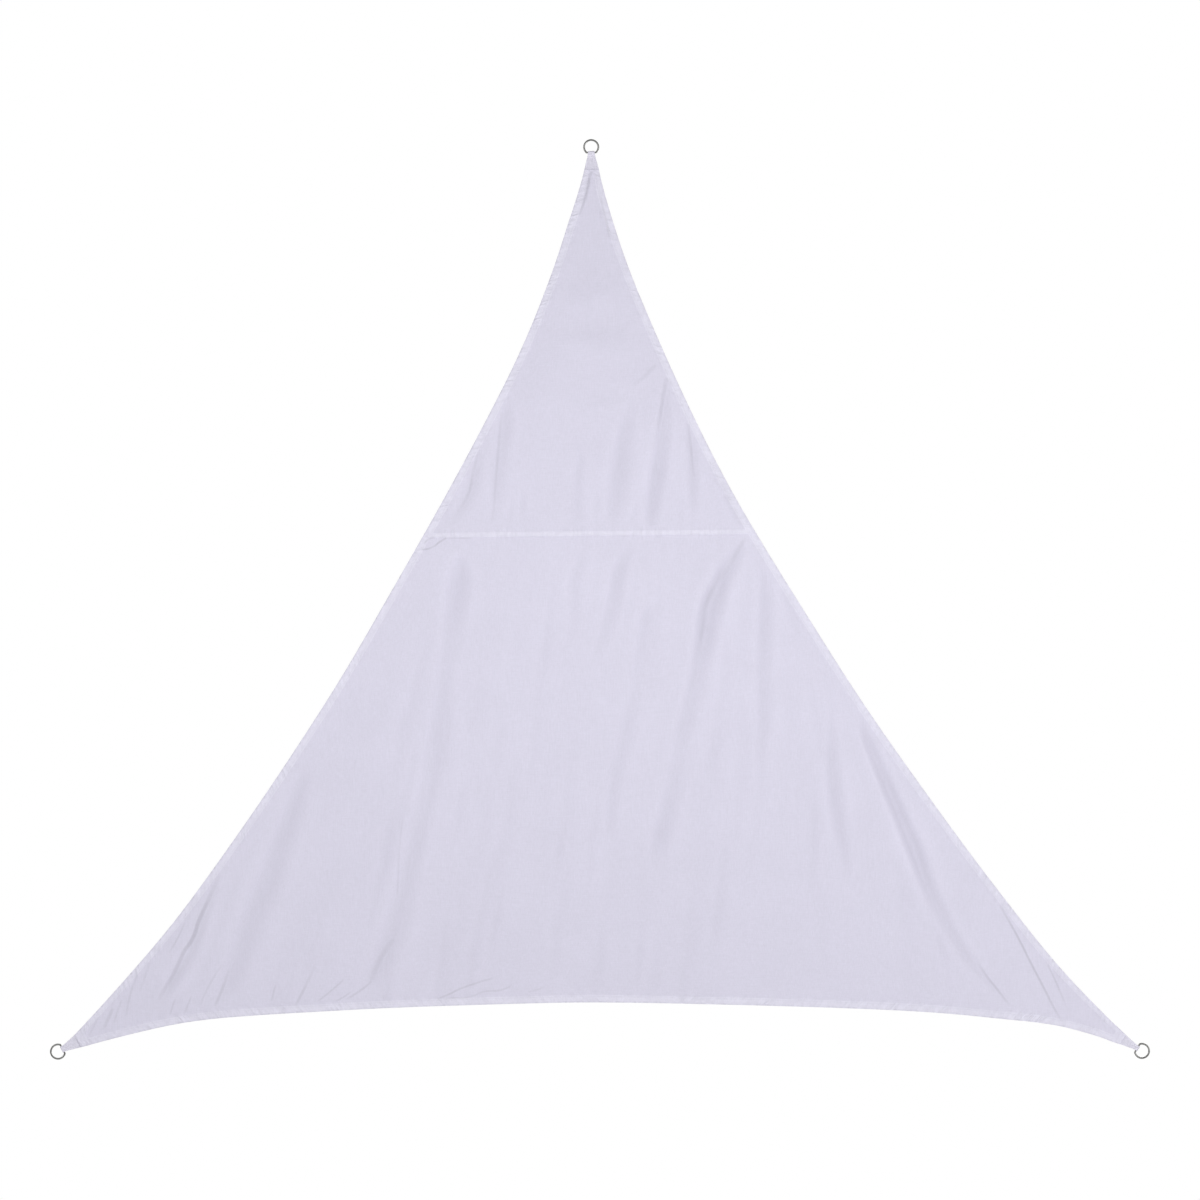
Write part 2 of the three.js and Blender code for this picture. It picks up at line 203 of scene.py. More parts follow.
def edge_place(edge, x, z):
    """How far along an edge a point lies, and how far inside it."""
    length, direction = chord(edge.start, edge.end)
    along, left = against_line(edge.start, direction, x, z)
    return along, (left - edge_sag(edge, along / length)) * math.copysign(1, edge.sag)


def inside_edges(x, z):
    """How far inside the nearest edge a point lies."""
    return np.minimum.reduce([edge_place(edge, x, z)[1] for edge in EDGES.values()])


def seam_level(x):
    return SEAM_LEVEL + SEAM_TILT * x


def seam_top(x):
    return seam_level(x) + SEAM_OVERLAP / 2


def seam_bottom(x):
    return seam_level(x) - SEAM_OVERLAP / 2


# ---------------------------------------------------------------- folds and creases

Fold = namedtuple("Fold", "width depth points")

# Folds and creases, in millimetres: the width and depth of the trough, then the points that it runs
# through from its upper end, each with the share of the depth that it has there.
FOLDS = (
    # upper panel, down to the seam
    Fold(22, 7.7, (
        (218, -660, 0), (208, -737, 0.5), (199, -826, 0.63), (183, -938, 1), (165, -1070, 0.59),
        (159, -1100, 0),
    )),
    Fold(29, 7.3, (
        (120, -700, 0), (105, -760, 0.38), (89, -849, 0.85), (75, -938, 1), (60, -1030, 0.6),
        (56, -1095, 0),
    )),
    Fold(15, 3.5, ((262, -750, 0), (271, -800, 0.44), (284, -880, 0.98), (285, -983, 1), (285, -1090, 0))),
    Fold(14, 2.5, ((352, -925, 0), (376, -985, 1), (398, -1035, 0.8), (417, -1085, 0))),
    Fold(22, 4, (
        (-233, -690, 0), (-242, -780, 1), (-251, -849, 0.87), (-265, -961, 0.79), (-275, -1085, 0),
    )),
    Fold(19, 3.6, (
        (-305, -850, 0), (-323, -915, 0.8), (-335, -961, 1), (-350, -1005, 0.8), (-374, -1042, 0.5),
        (-402, -1080, 0),
    )),
    Fold(14, 2.1, ((-27, -860, 0), (-33, -905, 1), (-38, -961, 0.9), (-40, -1030, 0.6), (-42, -1085, 0))),
    Fold(12, 1.3, ((-188, -960, 0), (-192, -1020, 1), (-196, -1085, 0))),
    Fold(11, 1.1, ((-222, -985, 0), (-226, -1040, 1), (-232, -1088, 0))),
    Fold(12, 1.2, ((20, -960, 0), (16, -1030, 1), (10, -1085, 0))),
    Fold(12, 1.3, ((128, -1000, 0), (124, -1040, 1), (110, -1085, 0))),
    Fold(39, 2.4, ((-125, -540, 0), (-40, -530, 1), (60, -528, 1), (145, -552, 0))),
    Fold(33, 1.9, ((10, -665, 0), (90, -655, 1), (190, -625, 0))),
    Fold(30, 1.6, ((-60, -735, 0), (40, -722, 1), (137, -700, 0))),
    Fold(51, 2.5, ((-100, -395, 0), (-20, -402, 1), (90, -385, 0))),
    Fold(7, 2.7, ((0, -80, 0), (-6, -110, 0.85), (-17, -150, 1), (-29, -192, 0))),
    Fold(6, 1.2, ((20, -175, 0), (27, -205, 1), (34, -240, 0))),
    # lower panel, from the seam
    Fold(32, 14.3, (
        (428, -1108, 0), (404, -1150, 0.42), (384, -1187, 0.6), (342, -1258, 0.85), (323, -1319, 1),
        (317, -1386, 0.85), (297, -1476, 0.47), (280, -1566, 0.39), (253, -1655, 0.27),
        (239, -1725, 0.1), (214, -1857, 0.33), (192, -1946, 0.58), (172, -2030, 0),
    )),
    Fold(21, 5, (
        (470, -1165, 0), (484, -1230, 0.67), (486, -1297, 1), (482, -1409, 1), (476, -1498, 0.7),
        (481, -1610, 0.92), (474, -1722, 0.42), (480, -1880, 0),
    )),
    Fold(23, 5.8, (
        (121, -1115, 0), (95, -1160, 0.64), (75, -1207, 1), (59, -1297, 0.72), (35, -1386, 0.44),
        (1, -1465, 0),
    )),
    Fold(20, 2.8, (
        (-9, -1115, 0), (-32, -1180, 1), (-47, -1240, 0.98), (-48, -1341, 0.53), (-70, -1440, 0),
    )),
    Fold(25, 5.7, (
        (165, -1285, 0), (151, -1340, 1), (139, -1409, 0.63), (124, -1521, 0.36), (99, -1655, 0.62),
        (64, -1767, 0.59), (51, -1870, 0.37), (48, -1960, 0),
    )),
    Fold(20, 6, (
        (667, -1500, 0), (674, -1600, 0.34), (670, -1710, 0.7), (678, -1834, 1), (696, -1946, 0.74),
        (721, -2090, 0),
    )),
    Fold(22, 10.7, (
        (747, -1605, 0), (768, -1670, 0.64), (799, -1745, 0.69), (856, -1879, 0.85), (903, -1991, 1),
        (945, -2103, 0.62), (1002, -2215, 0.45), (1059, -2305, 0.37), (1148, -2405, 0),
    )),
    Fold(35, 8.9, (
        (-364, -1150, 0), (-368, -1200, 1), (-381, -1274, 0.98), (-403, -1409, 0.35),
        (-418, -1521, 0.42), (-425, -1633, 0.56), (-439, -1745, 0.62), (-474, -1857, 0.37),
        (-499, -1969, 0.46), (-524, -2103, 0.59), (-556, -2215, 0.79), (-591, -2305, 0.69),
        (-644, -2395, 0),
    )),
    Fold(33, 7.7, (
        (-795, -1745, 0), (-820, -1815, 0.68), (-848, -1901, 0.82), (-880, -1991, 0.9),
        (-909, -2081, 1), (-944, -2160, 0.9), (-978, -2260, 0.82), (-1010, -2350, 0.69),
        (-1055, -2430, 0),
    )),
    Fold(16, 4.6, (
        (-1035, -2045, 0), (-1091, -2193, 0.67), (-1123, -2282, 0.78), (-1170, -2350, 1),
        (-1206, -2418, 0),
    )),
    Fold(14, 1.3, ((-86, -1930, 0), (-92, -1985, 1), (-104, -2080, 0))),
    Fold(14, 1.6, ((140, -2160, 0), (134, -2260, 1), (126, -2370, 0))),
    Fold(20, 2.4, ((520, -1180, 0), (552, -1280, 1), (590, -1410, 0))),
)
# Sharp creases in the same form, with half a width and a share of the deepest tone. They are not modelled:
# the material paints their shade into the cloth's colour.
PAINTED_CREASES = (
    # the top tip
    Fold(6.2, 0.85, (
        (6, -84, 0), (-4, -98, 0.8), (-9, -129, 1), (-16, -158, 0.8), (-24, -182, 0.8), (-34, -208, 0),
    )),
    Fold(5.6, 0.6, ((21, -128, 0), (28, -165, 0.6), (36, -201, 0.7), (45, -236, 1), (51, -270, 0))),
    # the upper panel
    Fold(9, 0.35, ((184, -625, 0), (165, -644, 1), (139, -669, 0.8), (111, -686, 0))),
    Fold(9, 0.6, ((212, -664, 0), (204, -700, 1), (195, -753, 0.9), (187, -804, 0.5), (181, -860, 0))),
    Fold(6, 0.45, ((271, -793, 0), (277, -840, 1), (282, -899, 0.8), (288, -949, 0))),
    Fold(6.5, 0.45, (
        (-250, -759, 0), (-255, -809, 0.8), (-261, -879, 1), (-267, -961, 0.9), (-272, -1028, 0.6),
        (-281, -1078, 0),
    )),
    Fold(6.5, 0.35, ((-311, -849, 0), (-323, -899, 1), (-334, -944, 0.8), (-342, -989, 0))),
    Fold(6.5, 0.35, ((-332, -945, 0), (-343, -988, 1), (-357, -1016, 0.6), (-378, -1046, 0))),
    # the left end of the seam
    Fold(4.4, 1, (
        (-474, -1143, 0), (-463, -1144, 1), (-446, -1139, 0.7), (-424, -1124, 1), (-404, -1112, 0),
    )),
    Fold(4, 0.7, ((-467, -1131, 0), (-454, -1116, 1), (-444, -1112, 0.6), (-431, -1111, 0))),
    Fold(4, 0.4, ((-408, -1114, 0), (-385, -1113, 0.8), (-360, -1113, 1), (-331, -1112, 0))),
    # the lower panel, beside the deep fold below the right end of the seam
    Fold(10, 0.4, (
        (432, -1112, 0), (408, -1151, 1), (383, -1196, 0.5), (353, -1237, 0.6), (330, -1277, 1),
        (319, -1319, 0.5), (313, -1356, 0.8), (303, -1400, 0),
    )),
    # the left corner
    Fold(9, 1.1, (
        (-1034, -2041, 0), (-1065, -2111, 0.5), (-1098, -2184, 1), (-1115, -2232, 1),
        (-1140, -2271, 0.8), (-1165, -2324, 0.6), (-1193, -2372, 0.45), (-1213, -2411, 0),
    )),
    Fold(5.2, 0.5, ((-1017, -2299, 0), (-1051, -2333, 0.6), (-1073, -2372, 0.8), (-1093, -2425, 0))),
    Fold(6.5, 0.6, ((-1011, -2316, 0), (-1023, -2349, 0.7), (-1037, -2386, 1), (-1053, -2422, 0))),
    Fold(4.5, 0.5, ((-1118, -2394, 0), (-1129, -2419, 1), (-1137, -2442, 0))),
    Fold(4.5, 0.5, ((-1163, -2400, 0), (-1171, -2422, 1), (-1179, -2447, 0))),
    Fold(4.5, 0.5, ((-883, -2361, 0), (-888, -2383, 1), (-894, -2408, 0))),
    Fold(5.2, 0.45, ((-1266, -2327, 0), (-1283, -2366, 0.8), (-1294, -2405, 1), (-1300, -2447, 0))),
    Fold(7.5, 0.6, ((-1339, -2428, 0), (-1350, -2453, 1), (-1367, -2489, 0))),
    Fold(5.2, 0.4, ((-1314, -2405, 0), (-1325, -2433, 1), (-1336, -2473, 0))),
    Fold(5.2, 0.4, ((-1381, -2456, 0), (-1392, -2478, 1), (-1406, -2506, 0))),
    Fold(5.2, 0.3, ((-1235, -2299, 0), (-1247, -2335, 1), (-1263, -2383, 0))),
    Fold(4.5, 0.5, ((-1137, -2187, 0), (-1154, -2226, 1), (-1182, -2274, 0))),
    # the bottom hem
    Fold(6.5, 0.6, ((-765, -2293, 0), (-790, -2347, 0.5), (-813, -2394, 1), (-827, -2419, 0))),
    Fold(4.5, 0.6, ((-689, -2344, 0), (-726, -2377, 1), (-765, -2408, 0))),
    Fold(4, 0.6, ((-670, -2380, 0), (-695, -2397, 1), (-717, -2408, 0))),
    Fold(5.2, 0.6, ((-614, -2352, 0), (-645, -2377, 1), (-687, -2403, 0))),
    Fold(12, 0.4, ((-549, -2232, 0), (-580, -2271, 1), (-600, -2310, 1), (-617, -2355, 0))),
    Fold(4.5, 0.75, (
        (-429, -2400, 0), (-395, -2386, 1), (-367, -2372, 0.9), (-328, -2358, 0.9), (-272, -2341, 0),
    )),
    Fold(4.4, 0.6, (
        (-423, -2400, 0), (-379, -2397, 0.8), (-339, -2394, 0.6), (-300, -2380, 0.8),
        (-253, -2375, 0.9), (-222, -2355, 0),
    )),
    Fold(4, 0.35, ((-177, -2380, 0), (-155, -2375, 1), (-129, -2366, 0))),
    Fold(4.5, 0.35, ((-524, -1890, 0), (-533, -1960, 0.8), (-538, -2050, 1), (-541, -2114, 0))),
    # the right corner
    Fold(5, 1, (
        (1136, -2134, 0), (1167, -2181, 0.7), (1192, -2226, 1), (1229, -2299, 1), (1273, -2383, 0.9),
        (1296, -2428, 0.6), (1321, -2467, 0),
    )),
    Fold(4.4, 0.7, ((1276, -2305, 0), (1296, -2344, 1), (1313, -2383, 0.7), (1338, -2442, 0))),
    Fold(5.2, 0.75, (
        (1083, -2302, 0), (1111, -2344, 0.9), (1136, -2375, 1), (1153, -2397, 0.7), (1173, -2422, 0),
    )),
)

FOLD_END = 0.03  # each end of a fold fades out over this length
FOLD_STEPS = 121
EASE_REACH = 5  # steps over which a fold's corners are eased
NARROW_START = 0.75  # share of its width that a fold has at its upper end
NARROW_SHARE = 0.5  # share of its width that a fold has where it has no depth
STEEP_SIDE = 1.25
EASY_SIDE = 0.85
RIDGE = 0.8

# Faint folds, in millimetres: how many, and where they start, how long, wide and deep they are, how
# far their middles bend aside, and how far inside the edges they start.
FAINT_SEED = 3
FAINT_COUNT = 90
FAINT_ACROSS = (-1250, 1250)
FAINT_LEVELS = (-2250, -700)
FAINT_LENGTHS = (180, 560)
FAINT_WIDTHS = (14, 30)
FAINT_DEPTHS = (0.5, 1.5)
FAINT_BEND = 8
FAINT_INSET = 30
FAN_PLACES = (-0.6, -0.3, 0.1, 0.3, 0.45, 0.6)  # x as a share of the drop from the top ring
FAN_LEANS = (-0.5, -0.2, -0.12, -0.1, 0.25, 0.5)  # sideways run of a fold as a share of its drop


def eased(values):
    """Takes the corners off a run of evenly spaced values."""
    padded = np.pad(values, EASE_REACH, mode="edge")
    weights = np.hanning(2 * EASE_REACH + 3)[1:-1]
    return np.convolve(padded, weights / weights.sum(), mode="valid")


def fold_trough(fold, x, z):
    """A trough as a share of its depth, steeper on its left, with a low ridge on each side."""
    points = np.array(fold.points) * (MILLIMETRE, MILLIMETRE, 1)
    length, direction = chord(points[0], points[-1])
    places, offsets = against_line(points[0], direction, points[:, 0], points[:, 1])
    even = np.linspace(0, length, FOLD_STEPS)
    course, shares = eased(np.interp(even, places, offsets)), eased(np.interp(even, places, points[:, 2]))
    place, left = against_line(points[0], direction, x, z)
    share = np.interp(place, even, shares, left=0, right=0)
    fade = smooth(place, 0, FOLD_END) * smooth(length - place, 0, FOLD_END)
    widening = np.interp(place / length, [0, 0.5], [NARROW_START, 1])
    width = MILLIMETRE * fold.width * widening * (NARROW_SHARE + (1 - NARROW_SHARE) * share)
    across = (left - np.interp(place, even, course)) / width
    across = across * np.where(across < 0, STEEP_SIDE, EASY_SIDE)
    return share * fade * (1 - RIDGE * across**2) * np.exp(-(across**2) / 2)


def faint_folds():
    """Many faint folds that fan out downwards, from a fixed seed."""
    draw = np.random.RandomState(FAINT_SEED)
    folds = []
    while len(folds) < FAINT_COUNT:
        x, z = draw.uniform(*FAINT_ACROSS), draw.uniform(*FAINT_LEVELS)
        length, width, depth = (draw.uniform(*span) for span in (FAINT_LENGTHS, FAINT_WIDTHS, FAINT_DEPTHS))
        bend = draw.normal(0, FAINT_BEND)
        lean = np.interp(-x / z, FAN_PLACES, FAN_LEANS)
        if inside_edges(x * MILLIMETRE, z * MILLIMETRE) < FAINT_INSET * MILLIMETRE:
            continue
        start, middle, end = ((x + lean * share * length, z - share * length) for share in (0, 0.5, 1))
        folds.append(Fold(width, depth, ((*start, 0), (middle[0] + bend, middle[1], 1), (*end, 0))))
    return folds


def fold_sums(x, z):
    """Depth of all the folds, and the shade painted into the cloth's colour by them at each point, as a depth
    in shares of a width: above 0 in troughs and below 0 on the ridges beside them.
    """
    depth, hollow = np.zeros_like(x), np.zeros_like(x)
    for fold in (*FOLDS, *faint_folds()):
        trough = fold_trough(fold, x, z)
        depth += trough * fold.depth * MILLIMETRE
        hollow += trough * fold.depth / fold.width
    return depth, hollow


# ---------------------------------------------------------------- form of the cloth

Waves = namedtuple("Waves", "seed count lengths tilt")

BELLY = 0.070
CALM_RADII = (0.200, 0.420)  # the belly starts and is whole at these distances from a ring
FINE_CALM_RADII = (0.125, 0.190)  # the same for the folds
HEM_CALM = 0.070  # folds are shallower within this distance of an edge
HEM_SHARE = 0.5  # share of their depth that is left at an edge
SEAM_CALM = 0.060
SEAM_SHARE = 0.4
HEM_PAINTED_SHADE_SHARE = 0.7  # share of its painted shade that a fold keeps on a hem

# Unevenness of the cloth, and the patches where the crumple is at its strongest.
SWAY_WAVES = Waves(5, 9, (0.16, 0.42), 0.45)
CRUMPLE_WAVES = Waves(11, 26, (0.024, 0.075), 0.5)
PATCH_WAVES = Waves(12, 6, (0.2, 0.5), 1.2)
PATCH_SPAN = (-0.6, 1.0)
PATCH_SHARE = 0.5  # share of the crumple that is left between the patches

# Ripples along the stitching: from ripple to ripple, and how far they reach beyond it. Slow waves make
# them wander and come and go, each with its height and its length over 2 pi.
HEM_RIPPLE = 0.043
HEM_RIPPLE_SLANT = 0.55
HEM_RIPPLE_REACH = 0.022
HEM_RIPPLE_EDGE = 0.45  # share of a ripple that is left at the very edge
HEM_RIPPLE_SEED = 40
HEM_WANDER = ((2.2, 0.061), (1.7, 0.143))
HEM_STRENGTH = 0.5
HEM_STRENGTH_WAVES = ((0.28, 0.093), (0.22, 0.29))
SEAM_RIPPLE = 0.031
SEAM_RIPPLE_REACH = 0.025
SEAM_WANDER = ((2.0, 0.071), (1.3, 0.19))
SEAM_WANDER_SHIFTS = (0, 2)
SEAM_STRENGTH = 0.55
SEAM_STRENGTH_WAVES = ((0.45, 0.12),)
SEAM_STRENGTH_SHIFTS = (1,)


def corner_share(x, z, calm, full):
    """0 near each ring, and 1 away from all three."""
    share = 1.0
    for corner in CORNERS.values():
        share = share * smooth(np.hypot(x - corner.x, z - corner.z), calm, full)
    return share


def stiff_share(x, z):
    """Share of the folds that is left near the hems and the seam."""
    hem = HEM_SHARE + (1 - HEM_SHARE) * smooth(inside_edges(x, z), 0, HEM_CALM)
    from_seam = np.abs(z - seam_level(x)) - SEAM_OVERLAP / 2
    return hem * (SEAM_SHARE + (1 - SEAM_SHARE) * smooth(from_seam, 0, SEAM_CALM))


def belly(x, z):
    """The product of a point's shares of the three corners, which is 1/27 at the middle."""
    top, left, right = CORNERS["top"], CORNERS["left"], CORNERS["right"]
    whole = (left.z - right.z) * (top.x - right.x) + (right.x - left.x) * (top.z - right.z)
    a = ((left.z - right.z) * (x - right.x) + (right.x - left.x) * (z - right.z)) / whole
    b = ((right.z - top.z) * (x - right.x) + (top.x - right.x) * (z - right.z)) / whole
    return BELLY * 27 * a * b * (1 - a - b)


def wave_field(x, z, waves):
    """A sum of random waves, whose crests stand upright but for their tilt."""
    draw = np.random.RandomState(waves.seed)
    total = np.zeros_like(x)
    for _ in range(waves.count):
        number = 2 * math.pi / draw.uniform(*waves.lengths)
        turn = draw.normal(0, waves.tilt)
        phase = draw.uniform(0, 2 * math.pi)
        total += np.sin(number * (x * math.cos(turn) + z * math.sin(turn)) + phase)
    return total / math.sqrt(waves.count)


def slow_waves(place, waves, shifts):
    return sum(height * np.sin(place / length + shift) for (height, length), shift in zip(waves, shifts))


def hem_puckers(x, z, height):
    """Small diagonal ripples that the stitching draws up along each hem, always to the front."""
    total = np.zeros_like(x)
    for number, edge in enumerate(EDGES.values()):
        along, inside = edge_place(edge, x, z)
        shifts = np.random.RandomState(HEM_RIPPLE_SEED + number).uniform(0, 2 * math.pi, 4)
        phase = 2 * math.pi * (along + HEM_RIPPLE_SLANT * inside) / HEM_RIPPLE
        ripple = 0.5 + 0.5 * np.sin(phase + slow_waves(along, HEM_WANDER, shifts[:2]))
        strength = HEM_STRENGTH + slow_waves(along, HEM_STRENGTH_WAVES, shifts[2:])
        on_hem = HEM_RIPPLE_EDGE + (1 - HEM_RIPPLE_EDGE) * inside / HEM_WIDTH
        reach = np.where(inside < HEM_WIDTH, on_hem, np.exp(-(inside - HEM_WIDTH) / HEM_RIPPLE_REACH))
        total += height * strength * reach * ripple
    return total


def seam_puckers(x, z, height):
    """Small upright ripples along the seam."""
    from_seam = np.abs(z - seam_level(x))
    phase = 2 * math.pi * x / SEAM_RIPPLE + slow_waves(x, SEAM_WANDER, SEAM_WANDER_SHIFTS)
    strength = SEAM_STRENGTH + slow_waves(x, SEAM_STRENGTH_WAVES, SEAM_STRENGTH_SHIFTS)
    reach = np.exp(-np.maximum(from_seam - SEAM_OVERLAP / 2, 0) / SEAM_RIPPLE_REACH)
    return height * strength * reach * np.sin(phase)


def cloth_form(x, z, settings):
    """Depth of the middle of the cloth, and the fold shade painted into its colour at each point."""
    folds, hollow = fold_sums(x, z)
    stiff = stiff_share(x, z)
    sway = wave_field(x, z, SWAY_WAVES) * settings.sway
    crumple = wave_field(x, z, CRUMPLE_WAVES) * settings.crumple
    crumple *= PATCH_SHARE + (1 - PATCH_SHARE) * smooth(wave_field(x, z, PATCH_WAVES), *PATCH_SPAN)
    rest = -(settings.hem_thickness / 2 + settings.strap_gap)
    small = (folds + sway + crumple) * stiff + seam_puckers(x, z, settings.pucker / 2)
    middle = rest - corner_share(x, z, *CALM_RADII) * belly(x, z)
    middle += corner_share(x, z, *FINE_CALM_RADII) * small - hem_puckers(x, z, settings.pucker)
    return middle, hollow * (HEM_PAINTED_SHADE_SHARE + (1 - HEM_PAINTED_SHADE_SHARE) * stiff)


# ---------------------------------------------------------------- property groups


def length_setting(name, description, default):
    return FloatProperty(name=name, description=description, default=default, unit="LENGTH", precision=5)


def colour_setting(name, description, default):
    return FloatVectorProperty(name=name, description=description, default=default, subtype="COLOR")


def share_setting(name, description, default):
    return FloatProperty(name=name, description=description, default=default, subtype="FACTOR")


class ShadeSailCloth(bpy.types.PropertyGroup):
    """Sizes and colours of the cloth."""

    cloth_thickness: length_setting("Cloth", "Thickness of one layer of cloth", 0.0007)
    hem_thickness: length_setting("Hem", "Thickness of the turned hem", 0.0016)
    piece_gap: length_setting("Lap gap", "Gap between the two cloths in the seam", 0.00015)
    strap_gap: length_setting("Strap gap", "From the middle plane to the back of a tip", 0.00015)
    upper_step: length_setting("Upper columns", "Spacing of the upper panel's columns", 0.0040)
    lower_step: length_setting("Lower columns", "Spacing of the lower panel's columns", 0.0057)
    sway: length_setting("Sway", "Height of the broad unevenness", 0.0016)
    crumple: length_setting("Crumple", "Height of the small unevenness", 0.00022)
    pucker: length_setting("Pucker", "Height of the ripples along the stitching", 0.0009)
    colour: colour_setting("Cloth colour", "Colour of one layer", (0.70, 0.68, 0.80))
    layered_colour: colour_setting("Hem colour", "Colour of hem and seam", (0.765, 0.748, 0.862))
    thread_pitch: length_setting("Weave", "Spacing of the threads of the weave", 0.0011)
    gather_pitch: length_setting("Gathers", "Size of the gathers beside the stitching", 0.0105)
    # Painted shade: how much the cloth's colour is darkened in a gather's hollow and lightened on its crest.
    painted_gather_shade_strength: share_setting("Gather tone", "How much darker a gather is", 0.035)
    # Painted shade: how much the cloth's colour is darkened at the bottom of the deepest crease.
    painted_crease_shade_strength: share_setting("Crease tone", "How much darker the deepest crease is", 0.17)
    # Painted shade: how much the cloth's colour is darkened at the bottom of a deep trough and lightened on
    # its ridges.
    painted_fold_shade_strength: share_setting("Fold tone", "How much darker a deep trough is", 0.075)


class ShadeSailFittings(bpy.types.PropertyGroup):
    """Sizes and colours of the straps and rings."""

    strap_thickness: length_setting("Strap", "Thickness of the strap", 0.0014)
    wire: length_setting("Wire", "Thickness of the ring's wire", 0.005)
    ring_points: IntProperty(name="Ring points", description="Points along a ring's round part", default=72)
    wire_points: IntProperty(name="Wire points", description="Points round the wire", default=20)
    strap_colour: colour_setting("Strap colour", "Colour of the strap", (0.76, 0.74, 0.85))
    wire_colour: colour_setting("Wire colour", "Colour of the wire", (0.27, 0.27, 0.26))


class ShadeSailStitching(bpy.types.PropertyGroup):
    """Sizes and colour of the stitches."""

    pitch: length_setting("Pitch", "From stitch to stitch", 0.0042)
    length: length_setting("Length", "Length of a stitch", 0.0034)
    thread: length_setting("Thread", "Thickness of the thread", 0.0007)
    colour: colour_setting("Thread colour", "Colour of the thread", (0.735, 0.716, 0.83))


class ShadeSailStage(bpy.types.PropertyGroup):
    """Sizes of the stage."""

    drop: length_setting("Drop", "From the lowest ring to the floor", 0.95)
    lens: FloatProperty(name="Lens", description="Focal length in millimetres", default=135.0)
    view_width: length_setting("View", "Width that the camera sees at the sail", 3.36)


# ---------------------------------------------------------------- mesh helpers


def link_piece(name, mesh):
    piece = bpy.data.objects.new(name, mesh)
    bpy.context.scene.collection.objects.link(piece)
    return piece


def new_piece(name, vertices, faces):
    mesh = bpy.data.meshes.new(name)
    mesh.from_pydata(vertices, [], faces)
    mesh.validate()
    mesh.shade_smooth()
    return link_piece(name, mesh)


def finish_piece(piece, material, slot, *nodes):
    """Gives a piece its material and body, and hides the CAD parts that it stands for. Its slot is not used.
    """
    piece.data.materials.clear()
    piece.data.materials.append(material)
    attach(piece, BODY)
    if nodes:
        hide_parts(*nodes)


def quads(grid):
    """Faces over a grid of point numbers. Turning the grid over its diagonal turns them over too."""
    return np.stack([grid[:-1, :-1], grid[1:, :-1], grid[1:, 1:], grid[:-1, 1:]], -1).reshape(-1, 4)


# ---------------------------------------------------------------- panels

Sheet = namedtuple("Sheet", "piece front back")  # front and back hold the points of each row

LINE_POINTS = 4001  # points of an edge where it is followed point by point
LEVEL_REACH = 0.3  # the bottom edge is carried on this far past its tips
LEVEL_POINTS = 50  # points of the bottom edge that give its slope at a tip
NARROW_HEM = 0.3  # a hem takes no more than this share of a narrow row
ROW_STRETCH = 1.85  # rows are this much further apart than columns, because the folds run upright
FIRST_COLUMN = 0.35  # share of a step that the upright columns keep from the hems
SEAM_EASE = 0.080  # the upper cloth steps over the lower one within this height
HEM_STEPS = (0.33, 0.67)  # shares of the way from the lower tips' level to the hem's, for rows between
TIP_FADE = (0.02, 0.08)  # the hems lose their lighter look between these distances from a ring

# How far in from the edge the columns and rows of the hems, the seam and the top tip lie, and which of
# them the stitches follow.
HEM_INSETS = np.array([0, 0.5, 1.5, 8, 14, 16.5, 19, 20, 21.2]) * MILLIMETRE
SEAM_INSETS = np.array([0, 0.5, 1.5, 3, 4.5, 7, 9.5, 11, 12.5, 14]) * MILLIMETRE
TIP_INSETS = np.array([0, 0.5, 1.5, 4]) * MILLIMETRE
HEM_STITCH = 5
SEAM_STITCHES = (3, 7)

# Sections as insets and shares: how far the thickness is that of a hem, with a groove under each row of
# stitches, and how an edge and the top tip thin out.
HEM_SECTION = ((0, 0.014, 0.0165, 0.019, 0.020, 0.0212), (1, 1, 0.55, 1, 0.85, 0))
SEAM_SECTION = (
    (0, 0.0015, 0.003, 0.0045, 0.0095, 0.011, 0.0125, 0.0132, 0.014),
    (1, 1, 0.6, 1, 1, 0.6, 1, 0.9, 0),
)
EDGE_SECTION = ((0, 0.0005, 0.0015), (0.25, 0.8, 1.0))
TIP_SECTION = ((0, 0.004), (0.2, 1.0))


def side_line(edge, tip_end):
    """An edge from the top, then the squared tip at its end, with the width of a hem on a level row."""
    t = np.linspace(0, 1, LINE_POINTS)
    x, z = edge_points(edge, t)
    slope = np.hypot(np.gradient(x), np.gradient(z)) / np.abs(np.gradient(z))
    x = np.append(x, edge.end[0] + (tip_end[0] - edge.end[0]) * t[1:])
    z = np.append(z, edge.end[1] + (tip_end[1] - edge.end[1]) * t[1:])
    slope = np.append(slope, np.full(LINE_POINTS - 1, slope[-1]))
    return x, z, slope


def panel_sides():
    ends = (EDGES["bottom"].start, EDGES["bottom"].end)
    return [side_line(EDGES[side], end) for side, end in zip(("left", "right"), ends)]


def crossing(line, level):
    """Where the row z = level(x) meets a side."""
    x, z, slope = line
    above = z - level(x)
    below = np.nonzero(above <= 0)[0]
    if not len(below):
        return x[-1], slope[-1]
    i = below[0]
    if i == 0:
        return x[0], slope[0]
    share = above[i - 1] / (above[i - 1] - above[i])
    return x[i - 1] + share * (x[i] - x[i - 1]), slope[i]


def line_level(a, b):
    """The straight line through two points as z for any x."""
    return lambda x: a[1] + (b[1] - a[1]) * (x - a[0]) / (b[0] - a[0])


def bottom_level():
    """The bottom edge as z for any x, carried on straight past its tips."""
    x, z = edge_points(EDGES["bottom"], np.linspace(0, 1, LINE_POINTS))
    left = (z[LEVEL_POINTS] - z[0]) / (x[LEVEL_POINTS] - x[0])
    right = (z[-1] - z[-1 - LEVEL_POINTS]) / (x[-1] - x[-1 - LEVEL_POINTS])
    x = np.concatenate([[x[0] - LEVEL_REACH], x, [x[-1] + LEVEL_REACH]])
    z = np.concatenate([[z[0] - LEVEL_REACH * left], z, [z[-1] + LEVEL_REACH * right]])
    return lambda place: np.interp(place, x, z)


def raised(level, height):
    return lambda x: level(x) + height


def between(upper, lower, share):
    """A level that is a share of the way from one level down to another."""
    return lambda x: upper(x) + (lower(x) - upper(x)) * share


